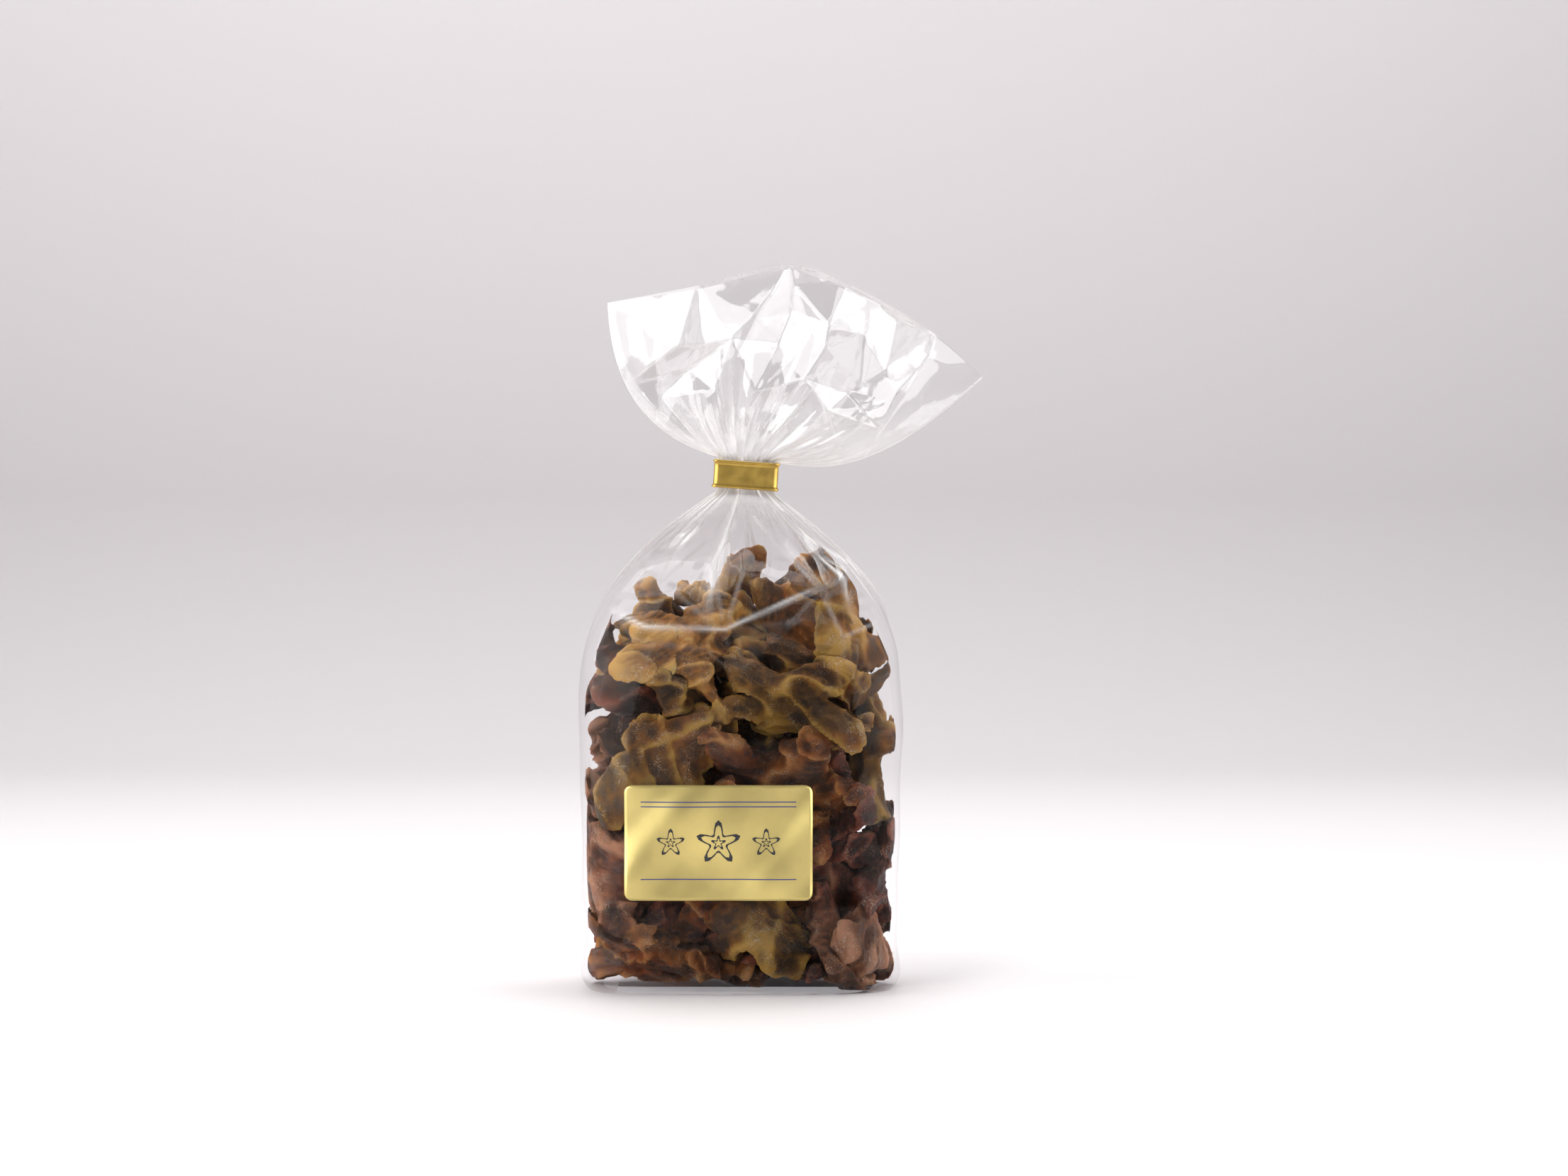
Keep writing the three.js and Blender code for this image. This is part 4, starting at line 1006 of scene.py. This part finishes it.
class Look:
    """A material whose shader nodes are added one after another."""

    def __init__(self, name):
        self.material = bpy.data.materials.new(name)
        self.material.use_nodes = True
        self.tree = self.material.node_tree
        self.tree.nodes.clear()
        self.place = self.add("TexCoord").outputs["Object"]

    def put(self, socket, value):
        if isinstance(value, bpy.types.NodeSocket):
            self.tree.links.new(value, socket)
        elif socket.type == "RGBA":
            socket.default_value = (*value, 1)
        else:
            socket.default_value = value

    def add(self, kind, settings=None, ordered=(), **inputs):
        """A node with its settings, and with its inputs in order or by name, with _ for a space."""
        node = self.tree.nodes.new("ShaderNode" + kind)
        for key, value in (settings or {}).items():
            setattr(node, key, value)
        for index, value in enumerate(ordered):
            self.put(node.inputs[index], value)
        for key, value in inputs.items():
            self.put(node.inputs[key.replace("_", " ")], value)
        return node

    def noise(self, scale, detail=2, roughness=0.5):
        node = self.add("TexNoise", Vector=self.place, Scale=scale, Detail=detail, Roughness=roughness)
        return node.outputs["Fac"]

    def attribute(self, name):
        return self.add("Attribute", {"attribute_name": name}).outputs["Fac"]

    def ramp(self, value, low, high, least=0.0, most=1.0):
        node = self.add("MapRange", Value=value, From_Min=low, From_Max=high, To_Min=least, To_Max=most)
        return node.outputs["Result"]

    def math(self, operation, a, b):
        return self.add("Math", {"operation": operation}, (a, b)).outputs[0]

    def mix(self, share, a, b, blend="MIX"):
        node = self.add("Mix", {"data_type": "RGBA", "blend_type": blend}, Factor=share, A=a, B=b)
        return node.outputs["Result"]

    def bump(self, height, strength, distance):
        return self.add("Bump", Height=height, Strength=strength, Distance=distance).outputs["Normal"]

    def finish(self, shader):
        self.add("OutputMaterial", Surface=shader.outputs[0])
        return self.material


def film_material():
    """Clear glossy film, with painted white glints where it is creased and a painted white sheen where
    many layers are gathered.
    """
    look = Look("clear_film")
    wrinkled = look.bump(look.noise(160, 3), 0.12, 0.0006)
    clear = look.add("BsdfTransparent", Color=(0.99, 0.985, 0.99))
    white_haze_and_glint = look.add("BsdfDiffuse", Color=(0.94, 0.925, 0.91))
    gloss = look.add("BsdfGlossy", Roughness=0.07, Normal=wrinkled)
    # The diffuse white mixed in by the attribute is a painted haze, sheen and glints
    hazed_and_glinting = look.add("MixShader", None, (look.attribute("haze_and_painted_glints"), clear.outputs[0], white_haze_and_glint.outputs[0]))
    slant = look.add("LayerWeight", Blend=0.5, Normal=wrinkled).outputs["Facing"]
    height = look.add("SeparateXYZ", Vector=look.place).outputs["Z"]
    face_on = look.ramp(height, *SHINE_RISES, FILM_SHINE["body"], FILM_SHINE["mouth"])
    steep = look.math("MULTIPLY", look.math("POWER", slant, 4), FILM_SHINE["edge on"])
    shine = look.math("ADD", face_on, steep)
    return look.finish(look.add("MixShader", None, (shine, hazed_and_glinting.outputs[0], gloss.outputs[0])))


def foil_material(name, color, roughness, metallic, streak):
    """Satin metallised foil in uneven shades, whose broad darker and lighter patches on the label are
    painted reflections.
    """
    look = Look(name)
    # Random darker and lighter patches of foil tone, which on the label also stand in as painted
    # reflections
    darker_tone_and_painted_reflection, lighter_tone_and_painted_reflection = tuple(c * 0.72 for c in color), tuple(c * 1.12 for c in color)
    tone = look.mix(look.ramp(look.noise(streak, 4), 0.3, 0.7), darker_tone_and_painted_reflection, lighter_tone_and_painted_reflection)
    grain = look.noise(2400)
    shader = look.add(
        "BsdfPrincipled",
        Base_Color=tone,
        Metallic=metallic,
        Roughness=look.ramp(grain, 0, 1, roughness - 0.06, roughness + 0.08),
        Normal=look.bump(grain, 0.15, 0.00008),
    )
    return look.finish(shader)


def ink_material(name, color):
    look = Look(name)
    tone = look.mix(look.noise(3000), tuple(c * 0.8 for c in color), tuple(c * 1.25 for c in color))
    return look.finish(look.add("BsdfPrincipled", Base_Color=tone, Roughness=0.45))


def flesh_material(name, dark, light, edge):
    """Mottled dried flesh with painted shade in its hollows and a painted highlight on its ridges, with
    sugar dust and grains.
    """
    look = Look(name)
    crest = look.attribute("crest")
    mottled = look.mix(look.ramp(look.noise(150, 6, 0.62), 0.34, 0.66), dark, light)
    hue = look.mix(look.ramp(look.noise(42, 1), 0.38, 0.62), REDDER, GREENER)
    tinted = look.mix(0.85, mottled, hue, "MULTIPLY")
    # Painted shade: the hollows between folds are darkened towards a deep shade of the darkest colour
    with_painted_hollow_shade = look.mix(look.ramp(crest, 0.12, 0.48, 0.78, 0), tinted, tuple(c * 0.35 for c in dark))
    # Painted highlight: the ridges are lightened towards the ridge colour
    with_painted_ridge_highlight = look.mix(look.ramp(crest, 0.5, 1, 0, 0.8), with_painted_hollow_shade, edge)
    upward = look.add("SeparateXYZ", Vector=look.add("NewGeometry").outputs["Normal"]).outputs["Z"]
    settled = look.ramp(upward, -0.6, 0.9, 0.03, 0.3)
    dust = look.math("MULTIPLY", look.ramp(look.noise(420, 8, 0.75), 0.5, 0.7), settled)
    dusted = look.mix(dust, with_painted_ridge_highlight, SUGAR)
    on_crests = look.ramp(crest, 0.25, 0.7, 0.15, 0.65)
    clusters = look.math("MULTIPLY", look.ramp(look.noise(190, 3), 0.47, 0.62), on_crests)
    grains = look.math("MULTIPLY", look.ramp(look.noise(3300, 1), 0.56, 0.66), clusters)
    sugared = look.mix(grains, dusted, SUGAR_GRAIN)
    relief = look.math("ADD", look.noise(380, 8, 0.74), look.math("MULTIPLY", grains, 0.4))
    shader = look.add(
        "BsdfPrincipled",
        {"subsurface_method": "RANDOM_WALK"},
        Base_Color=sugared,
        Specular_IOR_Level=0.24,
        Subsurface_Weight=0.3,
        Subsurface_Radius=(1.0, 0.4, 0.1),
        Subsurface_Scale=0.0014,
        Roughness=look.ramp(look.noise(300, 3), 0.3, 0.7, 0.34, 0.56),
        Normal=look.bump(relief, 1.0, 0.002),
    )
    return look.finish(shader)


# Stage, light and camera

def make_stage():
    """A pale floor that curves up into a backdrop, with painted shade low on the backdrop and painted
    light higher up.
    """
    bend, radius = FLOOR["bend"], FLOOR["radius"]
    profile = [(FLOOR["front"], 0), (bend, 0)]
    for turn in range(6, 91, 6):
        angle = math.radians(turn)
        profile.append((bend + radius * math.sin(angle), radius - radius * math.cos(angle)))
    profile.append((bend + radius, FLOOR["top"]))
    vertices = [(side * FLOOR["half"], y, z) for y, z in profile for side in (-1, 1)]
    faces = [(2 * k, 2 * k + 1, 2 * k + 3, 2 * k + 2) for k in range(len(profile) - 1)]
    stage = make_object("floor", np.array(vertices) / MM, faces)
    look = Look("floor")
    height = look.add("SeparateXYZ", Vector=look.place).outputs["Z"]
    # The floor's own tone turns into painted shade low on the backdrop and painted light above it
    ground, bottom, top = STAGE_TONES_AND_PAINTED_FALLOFF
    floor_into_painted_shade = look.mix(look.ramp(height, *PAINTED_FALLOFF_HEIGHTS[:2]), ground, bottom)
    tone = look.mix(look.ramp(height, *PAINTED_FALLOFF_HEIGHTS[1:]), floor_into_painted_shade, top)
    roughness = look.ramp(look.noise(9), 0, 1, 0.58, 0.66)
    shader = look.add("BsdfPrincipled", Base_Color=tone, Roughness=roughness)
    stage.data.materials.append(look.finish(shader))


def add_light(name, place, size, power, lights=True, reflects=True):
    """A soft box turned towards the bag, which can be left out of the lighting or of reflections."""
    light = bpy.data.lights.new(name, "AREA")
    light.shape = "RECTANGLE"
    light.size, light.size_y = size
    light.energy = power
    made = bpy.data.objects.new(name, light)
    made.location = place
    look_at(made, Vector(LIGHT_TARGET))
    made.visible_diffuse = lights
    made.visible_glossy = reflects
    link(made)


def look_at(made, target):
    made.rotation_euler = (target - made.location).to_track_quat("-Z", "Y").to_euler()


def make_lights():
    add_light("top_box", (0.05, 0.35, 0.95), (0.9, 0.6), 9)
    add_light("left_box", (-1.0, -0.2, 0.42), (0.6, 0.9), 9)
    add_light("right_box", (1.0, -0.12, 0.42), (0.6, 0.9), 6)
    add_light("key_box", (-0.4, -0.55, 1.1), (0.3, 0.3), 6, reflects=False)
    add_light("left_card", (-0.77, -0.85, 0.4), (1.0, 1.0), 13, lights=False)
    add_light("right_card", (0.81, -0.81, 0.4), (1.0, 1.0), 11, lights=False)
    world = bpy.data.worlds.new("studio")
    world.use_nodes = True
    nodes, links = world.node_tree.nodes, world.node_tree.links
    direction = nodes.new("ShaderNodeTexCoord")
    split = nodes.new("ShaderNodeSeparateXYZ")
    links.new(direction.outputs["Generated"], split.inputs["Vector"])
    ramp = nodes.new("ShaderNodeMapRange")
    for name, value in SKY_RAMP.items():
        ramp.inputs[name].default_value = value
    links.new(split.outputs["Y"], ramp.inputs["Value"])
    background = nodes["Background"]
    background.inputs["Color"].default_value = SKY_COLOR
    links.new(ramp.outputs["Result"], background.inputs["Strength"])
    bpy.context.scene.world = world


def make_camera():
    camera = bpy.data.cameras.new("camera")
    camera.lens = LENS["length"]
    camera.sensor_width = LENS["sensor"]
    camera.clip_start = 0.01
    made = link(bpy.data.objects.new("camera", camera))
    target = Vector(CAMERA["target"]) * MM
    raised = CAMERA["elevation"]
    made.location = target + Vector((0, -math.cos(raised), math.sin(raised))) * CAMERA["distance"] * MM
    look_at(made, target)
    bpy.context.scene.camera = made


# Assembly

def dress(piece, node):
    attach(piece, "root")
    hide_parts(node)


make_camera()
make_lights()
make_stage()

film_look = film_material()
crumpling = np.random.default_rng(SEED)
for film in (make_body_film(crumpling), make_fan_film(crumpling)):
    film.data.materials.append(film_look)
    dress(film, "film_bag")

neck_layers = make_neck_layers()
neck_layers.data.materials.append(film_look)
dress(neck_layers, "film_bag")

band = make_clip_band()
band.data.materials.append(foil_material("gold_strip", GOLD, 0.34, 0.85, 300))
dress(band, "clip_band")

label = make_label()
label.data.materials.append(foil_material("label_foil", PALE_GOLD, 0.32, 0.7, 45))
label.data.materials.append(ink_material("blue_ink", BLUE))
label.data.materials.append(ink_material("dark_ink", NEAR_BLACK))
dress(label, "label")

flesh_looks = {slot: flesh_material(slot, *tones) for slot, tones in FLESH.items()}
slot_of = {part["node"]: part["material_slot"] for part in frame["record"]["subparts"]}
slice_nodes = sorted(name for name in frame["nodes"] if name.startswith("slice_"))
for number, name in enumerate(slice_nodes):
    piece = make_slice(number, frame["nodes"][name])
    piece.data.materials.clear()
    piece.data.materials.append(flesh_looks[slot_of[name]])
    dress(piece, name)

scene = bpy.context.scene
scene.cycles.transparent_max_bounces = 24
scene.view_settings.view_transform = "Standard"
